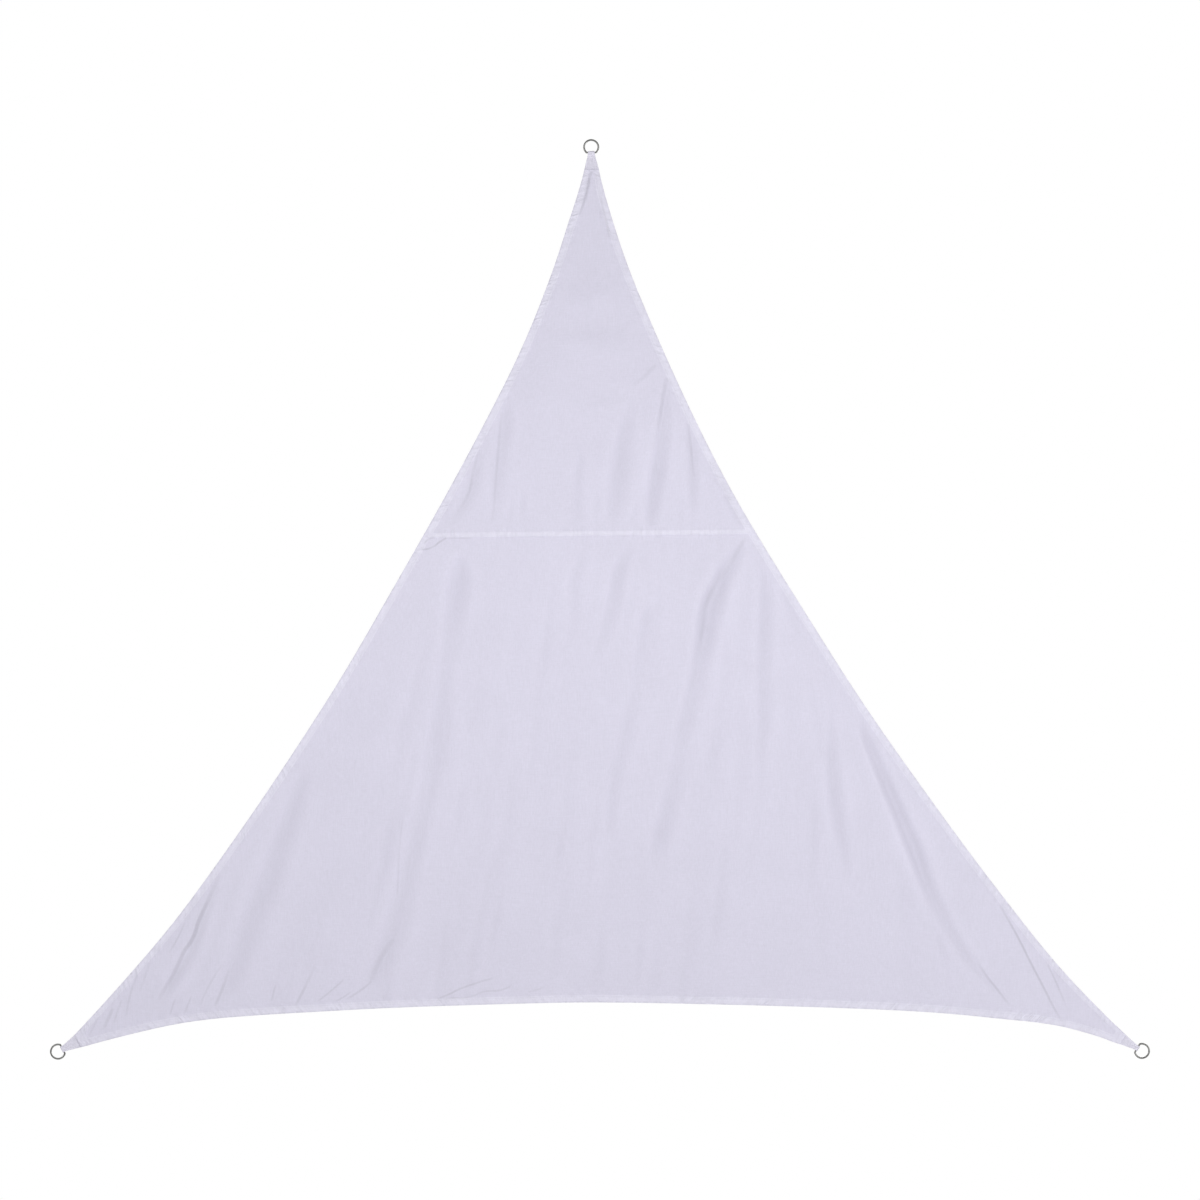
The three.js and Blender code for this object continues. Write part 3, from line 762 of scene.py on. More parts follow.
class Row:
    """One row of a panel's grid, from its left side to its right."""

    def __init__(self, level, sides, step, lap=0.0, tip_inset=None, hem_inset=None, seam_inset=None):
        (left, left_slope), (right, right_slope) = (crossing(line, level) for line in sides)
        narrow = NARROW_HEM * (right - left) / HEM_WIDTH
        left_unit, right_unit = min(left_slope, narrow), min(right_slope, narrow)
        left_hem, right_hem = left + HEM_INSETS * left_unit, right - HEM_INSETS[::-1] * right_unit
        start = math.ceil(left_hem[-1] / step + FIRST_COLUMN)
        stop = math.floor(right_hem[0] / step - FIRST_COLUMN)
        self.x = np.concatenate([left_hem, np.arange(start, stop + 1) * step, right_hem])
        self.z = level(self.x)
        self.lap = np.full_like(self.x, lap)
        from_left, from_right = (self.x - left) / left_unit, (right - self.x) / right_unit
        self.layers = np.maximum(np.interp(from_left, *HEM_SECTION), np.interp(from_right, *HEM_SECTION))
        self.rounded = np.interp(np.minimum(from_left, from_right), *EDGE_SECTION)
        for inset, section in ((hem_inset, HEM_SECTION), (seam_inset, SEAM_SECTION)):
            if inset is not None:
                self.layers = np.maximum(self.layers, np.interp(inset, *section))
                self.rounded = np.minimum(self.rounded, np.interp(inset, *EDGE_SECTION))
        if tip_inset is not None:
            self.rounded = np.minimum(self.rounded, np.interp(tip_inset, *TIP_SECTION))


def upper_rows(step):
    """Rows of the upper panel, from the top tip down to the seam's lower edge."""
    sides = panel_sides()
    tip_level = line_level(tip("top", -1), tip("top", 1))
    first = raised(tip_level, -TIP_INSETS[-1])
    rows = [Row(raised(tip_level, -inset), sides, step, tip_inset=inset) for inset in TIP_INSETS]
    height = first(0) - seam_top(0)
    count = round(height / (step * ROW_STRETCH))
    for i in range(1, count):
        lap = float(1 - smooth((1 - i / count) * height, 0, SEAM_EASE))
        rows.append(Row(between(first, seam_top, i / count), sides, step, lap=lap))
    for inset in SEAM_INSETS[::-1]:
        rows.append(Row(raised(seam_bottom, inset), sides, step, lap=1.0, seam_inset=inset))
    return rows


def lower_rows(step):
    """Rows of the lower panel, from the seam's upper edge down to the bottom hem."""
    sides = panel_sides()
    bottom = bottom_level()
    rise = line_level(*((x, z - bottom(x)) for x, z in (EDGES["left"].end, EDGES["right"].end)))

    def tip_level(x):
        return bottom(x) + rise(x)

    rows = [Row(raised(seam_top, -inset), sides, step, seam_inset=inset) for inset in SEAM_INSETS]
    count = round((seam_bottom(0) - tip_level(0)) / (step * ROW_STRETCH))
    for i in range(1, count + 1):
        rows.append(Row(between(seam_bottom, tip_level, i / count), sides, step))
    for share in HEM_STEPS:
        rows.append(Row(between(tip_level, raised(bottom, HEM_INSETS[-1]), share), sides, step))
    for inset in HEM_INSETS[::-1]:
        rows.append(Row(raised(bottom, inset), sides, step, hem_inset=inset))
    return rows


def strip_triangles(upper, lower, upper_start, lower_start):
    """Triangles between two rows that may differ in length, counter-clockwise seen from the front."""
    a, b = upper.x, lower.x
    triangles = []
    i = j = 0
    hem = len(HEM_INSETS)
    targets = [(k, k) for k in range(1, hem)]
    targets += [(len(a) - 1 - k, len(b) - 1 - k) for k in range(hem - 1, -1, -1)]
    for i_end, j_end in targets:
        while i < i_end or j < j_end:
            upper_cost = abs(a[i + 1] - b[j]) if i < i_end else math.inf
            lower_cost = abs(a[i] - b[j + 1]) if j < j_end else math.inf
            if upper_cost < lower_cost:
                triangles.append((upper_start + i, lower_start + j, upper_start + i + 1))
                i += 1
            else:
                triangles.append((upper_start + i, lower_start + j, lower_start + j + 1))
                j += 1
    return triangles


def sheet_faces(rows, starts):
    """Faces of a sheet's front, back and rim. The points of its back follow those of its front."""
    front = [strip_triangles(*rows[r : r + 2], *starts[r : r + 2]) for r in range(len(rows) - 1)]
    front = np.concatenate(front)
    left, right = starts[:-2], starts[:1:-1] - 1
    bottom, top = np.arange(starts[-2], starts[-1] - 1), np.arange(starts[1] - 1, 0, -1)
    count, rim = starts[-1], np.concatenate([left, bottom, right, top])
    following = np.roll(rim, -1)
    wall = ((rim, rim + count, following), (following, rim + count, following + count))
    return np.concatenate([front, front[:, [0, 2, 1]] + count, *(np.stack(half, 1) for half in wall)])


def hem_place(x, z):
    """How far a point is from the nearer end of the nearest hem, and how far inside that hem's edge."""
    along, inside = np.full_like(x, math.inf), np.full_like(x, math.inf)
    for edge in EDGES.values():
        place, depth = edge_place(edge, x, z)
        nearer = depth < inside
        along = np.where(nearer, np.minimum(place, chord(edge.start, edge.end)[0] - place), along)
        inside = np.where(nearer, depth, inside)
    return along, inside


def store(piece, name, front, back):
    """Keeps a value for each point of the front and the back for the material to read."""
    attribute = piece.data.attributes.new(name, "FLOAT", "POINT")
    attribute.data.foreach_set("value", np.concatenate([front, back]).astype(np.float32))


def panel_piece(name, rows, settings):
    """A closed sheet over the rows, which keeps what its material has to know as attributes."""
    starts = np.cumsum([0] + [len(row.x) for row in rows])
    values = ("x", "z", "layers", "rounded", "lap")
    x, z, layers, rounded, lap = (np.concatenate([getattr(row, value) for row in rows]) for value in values)
    extra = settings.hem_thickness - settings.cloth_thickness
    half = rounded * (settings.cloth_thickness + extra * layers) / 2
    middle, hollow = cloth_form(x, z, settings)
    middle = middle - lap * (settings.hem_thickness + settings.piece_gap)
    front, back = np.stack([x, middle - half, z], 1), np.stack([x, middle + half, z], 1)
    piece = new_piece(name, np.concatenate([front, back]).tolist(), sheet_faces(rows, starts).tolist())
    shown = layers * corner_share(x, z, *TIP_FADE)
    along, inside = hem_place(x, z)
    from_seam = np.abs(z - seam_level(x)) - SEAM_OVERLAP / 2
    store(piece, "layers", shown, shown)
    # Painted fold shade: darker in troughs and lighter on ridges on the front, and the other way round on the
    # back.
    store(piece, "hollow", hollow, -hollow)
    store(piece, "hem_along", along, along)
    store(piece, "hem_inside", inside, inside)
    store(piece, "from_seam", from_seam, from_seam)
    return Sheet(piece, np.split(front, starts[1:-1]), np.split(back, starts[1:-1]))


# ---------------------------------------------------------------- straps and rings

TAB_LENGTH = 0.105  # from the bar to the sewn end of the strap
STRAP_FRONT = 0.00015  # depth of the front face of the strap where it is sewn to the cloth
EYE_GAP = 0.0003  # between the wire and the strap
CROTCH = 0.016  # from the bar to where the two plies meet
PLY_GAP = 0.0001
STRAP_PLACES = (-0.004, 0.008, TIP_START - 0.0005, TIP_START + 0.002)  # distances from the bar
STRAP_SHARES = (0.44, 0.50, 0.98, 0.9)  # width there as a share of the tip's width
STRAIGHT_POINTS = 36
NECK_POINTS = 14
LOOP_POINTS = 24
ACROSS_POINTS = 33
GATHERS = 3.5  # half waves across the strap where it is drawn together in the ring
GATHER_DEPTH = 0.0002
SELVEDGE_POWER = 14  # how late the strap thins out towards its selvedges
SELVEDGE_LEAST = 0.06  # square of the share of its thickness that it has there

BEND_POINTS = 10
BAR_POINTS = 10
WELD_SWELL = 0.06  # the weld in the middle of the bar is this much thicker, as a share
WELD_LENGTH = 0.0018


def right_normals(path, closed):
    """Unit normals to the right of a path of points."""
    tangent = np.roll(path, -1, 0) - np.roll(path, 1, 0) if closed else np.gradient(path, axis=0)
    tangent /= np.linalg.norm(tangent, axis=1)[:, None]
    return np.stack([tangent[:, 1], -tangent[:, 0]], 1)


def strap_path(thickness, wire):
    """The middle of the strap as distance from the bar and depth: out, round the bar and back."""
    radius = wire / 2 + EYE_GAP + thickness / 2
    front = STRAP_FRONT + thickness / 2
    back = front + thickness + PLY_GAP
    straight = np.linspace(TAB_LENGTH, CROTCH, STRAIGHT_POINTS)
    share = np.linspace(0, 1, NECK_POINTS)[1:]
    turns = np.linspace(-math.pi / 2, -3 * math.pi / 2, LOOP_POINTS)[1:-1]
    neck, ease = CROTCH * (1 - share), smooth(share, 0, 1)
    along = (straight, neck, radius * np.cos(turns), neck[::-1], straight[::-1])
    depth = (
        np.full(len(straight), front),
        front + (-radius - front) * ease,
        radius * np.sin(turns),
        (back + (radius - back) * ease)[::-1],
        np.full(len(straight), back),
    )
    return np.stack([np.concatenate(along), np.concatenate(depth)], 1)


def strap_piece(name, corner, settings):
    """A strap along its path, each step with a row of points on its outer face and one on its inner."""
    thickness = settings.strap_thickness
    path = strap_path(thickness, settings.wire)
    across = np.linspace(-1, 1, ACROSS_POINTS)
    selvedge = np.sqrt(np.clip(1 - np.abs(across) ** SELVEDGE_POWER, SELVEDGE_LEAST, 1))
    points = []
    for (along, depth), (normal_along, normal_depth) in zip(path, right_normals(path, closed=False)):
        width = corner.tip_width * np.interp(along, STRAP_PLACES, STRAP_SHARES) / 2
        gather = GATHER_DEPTH * (1 - smooth(along, 0, TIP_START)) * np.cos(math.pi * GATHERS * across)
        for side in (1, -1):
            offset = gather + side * selvedge * thickness / 2
            x, z = corner_place(corner, BAR_OFFSET + along + normal_along * offset, across * width)
            points.append(np.stack([x, depth + normal_depth * offset, z], 1))
    grid = np.arange(len(points) * ACROSS_POINTS).reshape(len(path), 2, ACROSS_POINTS)
    grids = (grid[:, 0], grid[:, 1].T, grid[:, :, 0].T, grid[:, :, -1], grid[0].T, grid[-1])
    faces = np.concatenate([quads(each) for each in grids])
    return new_piece(name, np.concatenate(points).tolist(), faces.tolist())


def ring_path(count):
    """The middle of the wire as points along the heading and across it, counter-clockwise."""
    bend_along = BAR_OFFSET - BAR_BEND
    bend_across = math.sqrt((RING_RADIUS - BAR_BEND) ** 2 - bend_along**2)
    turn = math.atan2(bend_across, bend_along)
    bends = np.linspace(0, turn, BEND_POINTS)
    rounds = np.linspace(turn, 2 * math.pi - turn, count)[1:-1]
    bar = np.linspace(-bend_across, bend_across, BAR_POINTS + 2)[1:-1]
    bend = np.stack([bend_along + BAR_BEND * np.cos(bends), bend_across + BAR_BEND * np.sin(bends)], 1)
    middle = RING_RADIUS * np.stack([np.cos(rounds), np.sin(rounds)], 1)
    straight = np.stack([np.full(BAR_POINTS, BAR_OFFSET), bar], 1)
    return np.concatenate([bend, middle, bend[::-1] * [1, -1], straight])


def ring_piece(name, corner, settings):
    path = ring_path(settings.ring_points)
    outward = right_normals(path, closed=True)
    on_bar = path[:, 0] > BAR_OFFSET - BAR_BEND / 2
    weld = np.where(on_bar, np.exp(-((path[:, 1] / WELD_LENGTH) ** 2)), 0)
    radius = settings.wire / 2 * (1 + WELD_SWELL * weld)
    points = []
    for k in range(settings.wire_points):
        turn = 2 * math.pi * k / settings.wire_points
        ring = path + outward * (radius * math.cos(turn))[:, None]
        x, z = corner_place(corner, ring[:, 0], ring[:, 1])
        points.append(np.stack([x, radius * math.sin(turn), z], 1))
    grid = np.arange(len(points) * len(path)).reshape(len(points), len(path))
    faces = quads(np.pad(grid, (0, 1), mode="wrap"))
    return new_piece(name, np.concatenate(points).tolist(), faces.tolist())


# ---------------------------------------------------------------- node trees

NOISE_SPAN = (0.3, 0.7)  # nearly all of a noise lies between these values
PATCH_EDGES = (0.38, 0.62)  # values of a noise outside and inside its patches
THREAD_CROSSING = 0.25  # how gradually one thread of a weave goes under another


class Nodes:
    """A node tree with short calls to add and join nodes."""

    def __init__(self, tree):
        self.tree = tree

    def add(self, kind, inputs=None, **values):
        node = self.tree.nodes.new(kind)
        for name, value in values.items():
            setattr(node, name, value)
        for name, value in (inputs or {}).items():
            self.feed(node.inputs[name], value)
        return node

    def feed(self, socket, value):
        if isinstance(value, bpy.types.NodeSocket):
            self.tree.links.new(value, socket)
        else:
            socket.default_value = value

    def made(self, kind, inputs=None, **values):
        """Adds a node and gives its first output."""
        return self.add(kind, inputs, **values).outputs[0]

    def math(self, operation, a, b=0.0):
        return self.made("ShaderNodeMath", {0: a, 1: b}, operation=operation)

    def combined(self, operation, *values):
        """Values joined one after another by the same operation."""
        return reduce(lambda total, value: self.math(operation, total, value), values)

    def mix(self, kind, factor, a, b):
        return self.add("ShaderNodeMix", {"Factor": factor, "A": a, "B": b}, data_type=kind).outputs["Result"]

    def span(self, value, low, high, to_low, to_high):
        inputs = {"Value": value, "From Min": low, "From Max": high, "To Min": to_low, "To Max": to_high}
        return self.made("ShaderNodeMapRange", inputs)

    def parts(self, vector):
        return self.add("ShaderNodeSeparateXYZ", {"Vector": vector}).outputs

    def curve(self, value, points):
        """A smooth curve through the points, level beyond its ends."""
        node = self.add("ShaderNodeFloatCurve", {"Value": value})
        node.mapping.use_clip, node.mapping.extend = False, "HORIZONTAL"
        curve = node.mapping.curves[0]
        while len(curve.points) < len(points):
            curve.points.new(0.5, 0.5)
        for knot, place in zip(curve.points, points):
            knot.location = place
        node.mapping.update()
        return node.outputs[0]


class Finish(Nodes):
    """A material, with short calls for the patterns and tones of its surface."""

    def __init__(self, name):
        self.material = bpy.data.materials.new(name)
        self.material.use_nodes = True
        super().__init__(self.material.node_tree)
        self.place = self.add("ShaderNodeTexCoord").outputs["Object"]

    def surface(self, looks):
        """Sets the shader's inputs, with plain numbers straight on their sockets."""
        for name, value in looks.items():
            self.feed(self.tree.nodes["Principled BSDF"].inputs[name], value)
        return self.material

    def noise_at(self, place, detail, roughness=0.5):
        inputs = {"Vector": place, "Scale": 1.0, "Detail": detail, "Roughness": roughness}
        return self.made("ShaderNodeTexNoise", inputs)

    def noise(self, scales, detail, roughness=0.5):
        """Noise over the piece's own place, with a scale for each axis or one for all."""
        scales = scales if isinstance(scales, tuple) else (scales,) * 3
        place = self.made("ShaderNodeMapping", {"Vector": self.place, "Scale": scales})
        return self.noise_at(place, detail, roughness)

    def patches(self, x, y, z, lowest):
        """Noise from lowest to 1 whose three axes are each a value and a length."""
        x, y, z = (self.math("DIVIDE", value, length) for value, length in (x, y, z))
        place = self.made("ShaderNodeCombineXYZ", {"X": x, "Y": y, "Z": z})
        return self.span(self.noise_at(place, detail=1.0), *PATCH_EDGES, lowest, 1.0)

    def attribute(self, name):
        return self.add("ShaderNodeAttribute", attribute_name=name).outputs["Fac"]

    def spread(self, noise, low, high):
        """A noise stretched to run from low to high."""
        return self.span(noise, *NOISE_SPAN, low, high)

    def tone(self, noise, amount):
        """A factor that a noise takes up to an amount either side of 1."""
        return self.spread(noise, 1 - amount, 1 + amount)

    def shade(self, colour, factor):
        """A colour made lighter or darker by a factor near 1."""
        return self.made("ShaderNodeVectorMath", {0: colour, "Scale": factor}, operation="SCALE")

    def bumps(self, *layers):
        """A normal bent by one pattern after another, each given with the height that it stands for."""
        normal = None
        for pattern, height in layers:
            inputs = {"Height": pattern, "Distance": height, "Strength": 1.0}
            if normal is not None:
                inputs["Normal"] = normal
            normal = self.made("ShaderNodeBump", inputs)
        return normal

    def threads(self, pitch):
        """Height of a plain weave whose threads run upright and level."""
        parts = self.parts(self.place)
        x, z = (self.math("SINE", self.math("MULTIPLY", parts[name], math.pi / pitch)) for name in ("X", "Z"))
        upright, level = self.math("ABSOLUTE", x), self.math("ABSOLUTE", z)
        over = self.span(self.math("MULTIPLY", x, z), -THREAD_CROSSING, THREAD_CROSSING, 0.0, 1.0)
        return self.mix("FLOAT", over, upright, level)


# ---------------------------------------------------------------- stitches

STITCH_SIZES = ("Pitch", "Length", "Thread")
STITCH_BALL = {"Segments": 6, "Rings": 4, "Radius": 0.5}  # a stitch before it is drawn out to its size


def stitch_tree(settings):
    """Geometry Nodes that lay stitches along the lines of a wire mesh, and their inputs' identifiers."""
    tree = bpy.data.node_groups.new("stitches along a line", "GeometryNodeTree")
    face = tree.interface
    face.new_socket("Line", in_out="INPUT", socket_type="NodeSocketGeometry")
    inputs = {}
    for name in STITCH_SIZES:
        socket = face.new_socket(name, in_out="INPUT", socket_type="NodeSocketFloat")
        socket.default_value = getattr(settings, name.lower())
        inputs[name] = socket.identifier
    inputs["Finish"] = face.new_socket("Finish", in_out="INPUT", socket_type="NodeSocketMaterial").identifier
    face.new_socket("Stitches", in_out="OUTPUT", socket_type="NodeSocketGeometry")
    nodes = Nodes(tree)
    source = nodes.add("NodeGroupInput").outputs
    pitch, length, thread = (source[name] for name in STITCH_SIZES)
    line = nodes.made("GeometryNodeMeshToCurve", {"Mesh": source["Line"]})
    points = nodes.made("GeometryNodeResampleCurve", {"Curve": line, "Length": pitch}, mode="LENGTH")
    ball = nodes.made("GeometryNodeMeshUVSphere", STITCH_BALL)
    size = nodes.made("ShaderNodeCombineXYZ", {"X": thread, "Y": thread, "Z": length})
    stitch = nodes.made("GeometryNodeTransform", {"Geometry": ball, "Scale": size})
    tangent = nodes.made("GeometryNodeInputTangent")
    turn = nodes.made("FunctionNodeAlignRotationToVector", {"Vector": tangent}, axis="Z")
    laid = nodes.made(
        "GeometryNodeInstanceOnPoints", {"Points": points, "Instance": stitch, "Rotation": turn}
    )
    real = nodes.made("GeometryNodeRealizeInstances", {"Geometry": laid})
    sewn = nodes.made("GeometryNodeSetMaterial", {"Geometry": real, "Material": source["Finish"]})
    nodes.add("NodeGroupOutput", {"Stitches": sewn})
    return tree, inputs


def stitching_piece(name, lines, tree, inputs, settings, material):
    """Stitches along the lines, each a list of points, as one plain mesh."""
    vertices, edges = [], []
    for line in lines:
        edges += [(i, i + 1) for i in range(len(vertices), len(vertices) + len(line) - 1)]
        vertices += np.array(line).tolist()
    wire = bpy.data.meshes.new(name + "_line")
    wire.from_pydata(vertices, edges, [])
    guide = link_piece(name + "_line", wire)
    modifier = guide.modifiers.new("stitches", "NODES")
    modifier.node_group = tree
    for size in STITCH_SIZES:
        modifier[inputs[size]] = getattr(settings, size.lower())
    modifier[inputs["Finish"]] = material
    evaluated = guide.evaluated_get(bpy.context.evaluated_depsgraph_get())
    mesh = bpy.data.meshes.new_from_object(evaluated)
    mesh.name = name
    mesh.shade_smooth()
    bpy.data.objects.remove(guide)
    if not mesh.polygons:
        raise RuntimeError(f"{name}: no stitches were made")
    return link_piece(name, mesh)


# ---------------------------------------------------------------- materials

# Scales of the cloth's patterns, and the share by which each makes it lighter and darker.
YARN_SCALE = 900
YARN_STREAK = 26  # scale along the yarns
UPRIGHT_TONE = 0.025
LEVEL_TONE = 0.02
MOTTLE_SCALE = 7.0
MOTTLE_TONE = 0.01
GRAIN_SCALES = (190, 190, 120)
GRAIN_TONE = 0.015
WEAVE_TONES = (0.96, 1.01)
CRUMPLE_SCALES = (34, 34, 22)
DEEP_HOLLOW = 0.3  # a trough with this depth for its width has the whole of the painted fold shade
BLOTCH_SCALE = 64.0  # the hems' lighter look is blotchy
BLOTCH_SPAN = (0.35, 0.62)
BLOTCH_SHARES = (0.6, 1.1)

# Gathers and dots beside the stitching: their slant and sizes, and how they fade away from it. Both are
# painted as shade in the cloth's colour, and the gathers are bumps as well.
GATHER_SLANT = 0.8
GATHER_REACH = 0.040
SIDE_SCALE = 0.25  # tells the gathers of one side from those of the other
CLUSTER_LENGTH = 0.10
CLUSTER_LEAST = 0.25  # share of a hem's gathers that is left between clusters
HEM_FADE = (0.8 * HEM_WIDTH, 1.5 * HEM_WIDTH)
CALM_FADE = (0.25, 1.3)  # distances from a tip
CALM_MIDDLE = 0.45  # share of the gathers that is left halfway along a side
SEAM_FADE = (-0.003, 0.024)
SEAM_GATHERS = 0.8  # strength of the seam's gathers against the hems'
DOT_PITCH = 0.010
DOT_FADE = (0.0015, 0.005)
DOT_TONE = 3  # how many times darker a dot's painted shade is than a gather's

# Section of a sharp crease's painted shade, from one side to the other: place as a share of its reach, and
# shade.
CREASE_SECTION = ((-1.0, 0.0), (-0.6, -0.25), (-0.2, 0.75), (0.0, 1.0), (0.2, 0.75), (0.6, -0.25), (1.0, 0.0))

STRAP_MOTTLE_SCALE = 90.0
STRAP_WEAVE = 0.0016  # from thread to thread
STRAP_FIBRES = (1500, 1500, 300)
TWIST_SCALE = 1400.0
RUB_SCALE = 160.0
SCRATCH_SCALE = 2600.0
FLOOR_COLOUR = (0.9, 0.9, 0.9)
SPECK_SCALE = 3.0


def hem_gathers(cloth, settings):
    """Slanting gathers beside the hems and the seam, from -1 to 1, and dots along the turned edge. Both are
    painted as shade in the cloth's colour, and the gathers are bumps as well.
    """
    along, inside, from_seam = (cloth.attribute(name) for name in ("hem_along", "hem_inside", "from_seam"))
    x = cloth.parts(cloth.place)["X"]
    side, pitch = (x, SIDE_SCALE), settings.gather_pitch
    slant = cloth.math("ADD", along, cloth.math("MULTIPLY", inside, GATHER_SLANT))
    hem = cloth.combined(
        "MULTIPLY",
        cloth.patches((slant, pitch), (inside, GATHER_REACH), side, -1.0),
        cloth.patches((along, CLUSTER_LENGTH), side, (x, 1.0), CLUSTER_LEAST),
        cloth.span(inside, *HEM_FADE, 1.0, 0.0),
        cloth.span(along, *CALM_FADE, 1.0, CALM_MIDDLE),
    )
    seam = cloth.combined(
        "MULTIPLY",
        cloth.patches((x, pitch), (from_seam, GATHER_REACH), (x, 1.0), -1.0),
        cloth.patches((x, CLUSTER_LENGTH), (x, 1.0), (x, 1.0), 0.0),
        cloth.span(from_seam, *SEAM_FADE, SEAM_GATHERS, 0.0),
    )
    dots = cloth.patches((along, DOT_PITCH), side, (x, 1.0), 0.0)
    dots = cloth.math("MULTIPLY", dots, cloth.span(inside, *DOT_FADE, 1.0, 0.0))
    return cloth.math("ADD", hem, seam), dots


def painted_crease_shade(cloth):
    """Shade painted into the cloth's colour along the sharp creases: 1 in the deepest, 0 away from them and
    below 0 close beside them.
    """
    shades = []
    for crease in PAINTED_CREASES:
        points = np.array(crease.points) * (MILLIMETRE, MILLIMETRE, 1)
        length, direction = chord(points[0], points[-1])
        places, offsets = against_line(points[0], direction, points[:, 0], points[:, 1])
        places, reach = places / length, 2 * MILLIMETRE * crease.width
        local = {
            "Vector": cloth.place,
            "Location": (points[0, 0], 0.0, points[0, 1]),
            "Rotation": (0.0, -math.atan2(direction[1], direction[0]), 0.0),
            "Scale": (length, 1.0, reach),
        }
        local = cloth.parts(cloth.made("ShaderNodeMapping", local, vector_type="TEXTURE"))
        middle = cloth.curve(local["X"], list(zip(places, offsets / reach)))
        depth = cloth.curve(local["X"], list(zip(places, points[:, 2])))
        section = cloth.curve(cloth.math("SUBTRACT", local["Z"], middle), CREASE_SECTION)
        shades.append(cloth.combined("MULTIPLY", section, depth, crease.depth))
    return cloth.combined("ADD", *shades)


def cloth_material(settings):
    cloth = Finish("sail cloth")
    upright = cloth.noise((YARN_SCALE, YARN_SCALE, YARN_STREAK), detail=1.0)
    level = cloth.noise((YARN_STREAK, YARN_SCALE, YARN_SCALE), detail=1.0)
    mottle = cloth.noise(MOTTLE_SCALE, detail=3.0)
    grain = cloth.noise(GRAIN_SCALES, detail=2.0)
    crumple = cloth.noise(CRUMPLE_SCALES, detail=4.0, roughness=0.6)
    weave = cloth.threads(settings.thread_pitch)
    gathers, dots = hem_gathers(cloth, settings)
    blotches = cloth.span(cloth.noise(BLOTCH_SCALE, detail=2.0), *BLOTCH_SPAN, *BLOTCH_SHARES)
    layers = cloth.math("MULTIPLY", cloth.attribute("layers"), blotches)
    colour = cloth.mix("RGBA", layers, (*settings.colour, 1.0), (*settings.layered_colour, 1.0))
    fold, gather = settings.painted_fold_shade_strength, settings.painted_gather_shade_strength
    factor = cloth.combined(
        "MULTIPLY",
        cloth.tone(upright, UPRIGHT_TONE),
        cloth.tone(level, LEVEL_TONE),
        cloth.tone(mottle, MOTTLE_TONE),
        cloth.tone(grain, GRAIN_TONE),
        cloth.span(weave, 0.0, 1.0, *WEAVE_TONES),
        # Painted shade in the folds' troughs and painted highlight on their ridges.
        cloth.span(cloth.attribute("hollow"), -DEEP_HOLLOW, DEEP_HOLLOW, 1 + fold, 1 - fold),
        # Painted shade along the sharp creases.
        cloth.span(painted_crease_shade(cloth), 0.0, 1.0, 1.0, 1 - settings.painted_crease_shade_strength),
        # Painted shade in the gathers' hollows and painted highlight on their crests.
        cloth.span(gathers, -1.0, 1.0, 1 + gather, 1 - gather),
        # Painted shade in dots along the turned edge.
        cloth.span(dots, 0.0, 1.0, 1.0, 1 - DOT_TONE * gather),
    )
    yarns = cloth.math("ADD", upright, level)
    looks = {
        "Base Color": cloth.shade(colour, factor),
        "Roughness": cloth.spread(mottle, 0.82, 0.92),
        "Sheen Weight": 0.12,
        "Sheen Roughness": 0.5,
        "Specular IOR Level": 0.25,
        "Normal": cloth.bumps((crumple, 0.0012), (gathers, -0.0008), (yarns, 0.00012), (weave, 0.00006)),
    }
    return cloth.surface(looks)


def strap_material(settings):
    strap = Finish("strap webbing")
    mottle = strap.noise(STRAP_MOTTLE_SCALE, detail=3.0)
    weave = strap.threads(STRAP_WEAVE)
    fibres = strap.noise(STRAP_FIBRES, detail=1.0)
    factor = strap.math("MULTIPLY", strap.tone(mottle, 0.04), strap.span(weave, 0, 1, 0.88, 1.04))
    looks = {
        "Base Color": strap.shade(settings.strap_colour, factor),
        "Roughness": strap.spread(fibres, 0.72, 0.86),
        "Sheen Weight": 0.15,
        "Specular IOR Level": 0.3,
        "Normal": strap.bumps((mottle, 0.0006), (weave, 0.00025)),
    }
    return strap.surface(looks)


def thread_material(settings):
    thread = Finish("stitching thread")
    twist = thread.noise(TWIST_SCALE, detail=1.0)
    looks = {
        "Base Color": thread.shade(settings.colour, thread.spread(twist, 0.92, 1.06)),
        "Roughness": thread.spread(twist, 0.5, 0.66),
        "Normal": thread.bumps((twist, 0.0001)),
    }
    return thread.surface(looks)


def wire_material(settings):
    wire = Finish("ring steel")
    rub = wire.noise(RUB_SCALE, detail=4.0)
    scratch = wire.noise(SCRATCH_SCALE, detail=2.0)
    looks = {
        "Metallic": 1.0,
        "Base Color": wire.shade(settings.wire_colour, wire.spread(rub, 0.86, 1.06)),
        "Roughness": wire.spread(rub, 0.26, 0.42),
        "Normal": wire.bumps((scratch, 0.00002)),
    }
    return wire.surface(looks)


def floor_material():
    floor = Finish("studio floor")
    speck = floor.noise(SPECK_SCALE, detail=3.0)
    return floor.surface({"Base Color": floor.shade(FLOOR_COLOUR, floor.tone(speck, 0.01)), "Roughness": 0.9})


# ---------------------------------------------------------------- operators

TAB_STITCH_RUN = (0.080, 0.113)  # distances from the ring's centre between which a strap is sewn
TAB_STITCH_SHARE = 0.78  # width of the box of stitches as a share of the tip's
TAB_STITCH_POINTS = 9
RAY_START = 0.2

# Lines that the stitching follows, filled by the panels: group name to lists of points.
stitch_lines = {"hem_stitches_front": [], "hem_stitches_back": [], "seam_stitches": []}


def side_hem_lines(rows):
    """Lines of stitches down the two side hems of one face of a panel."""
    return [[row[place] for row in rows] for place in (HEM_STITCH, -1 - HEM_STITCH)]


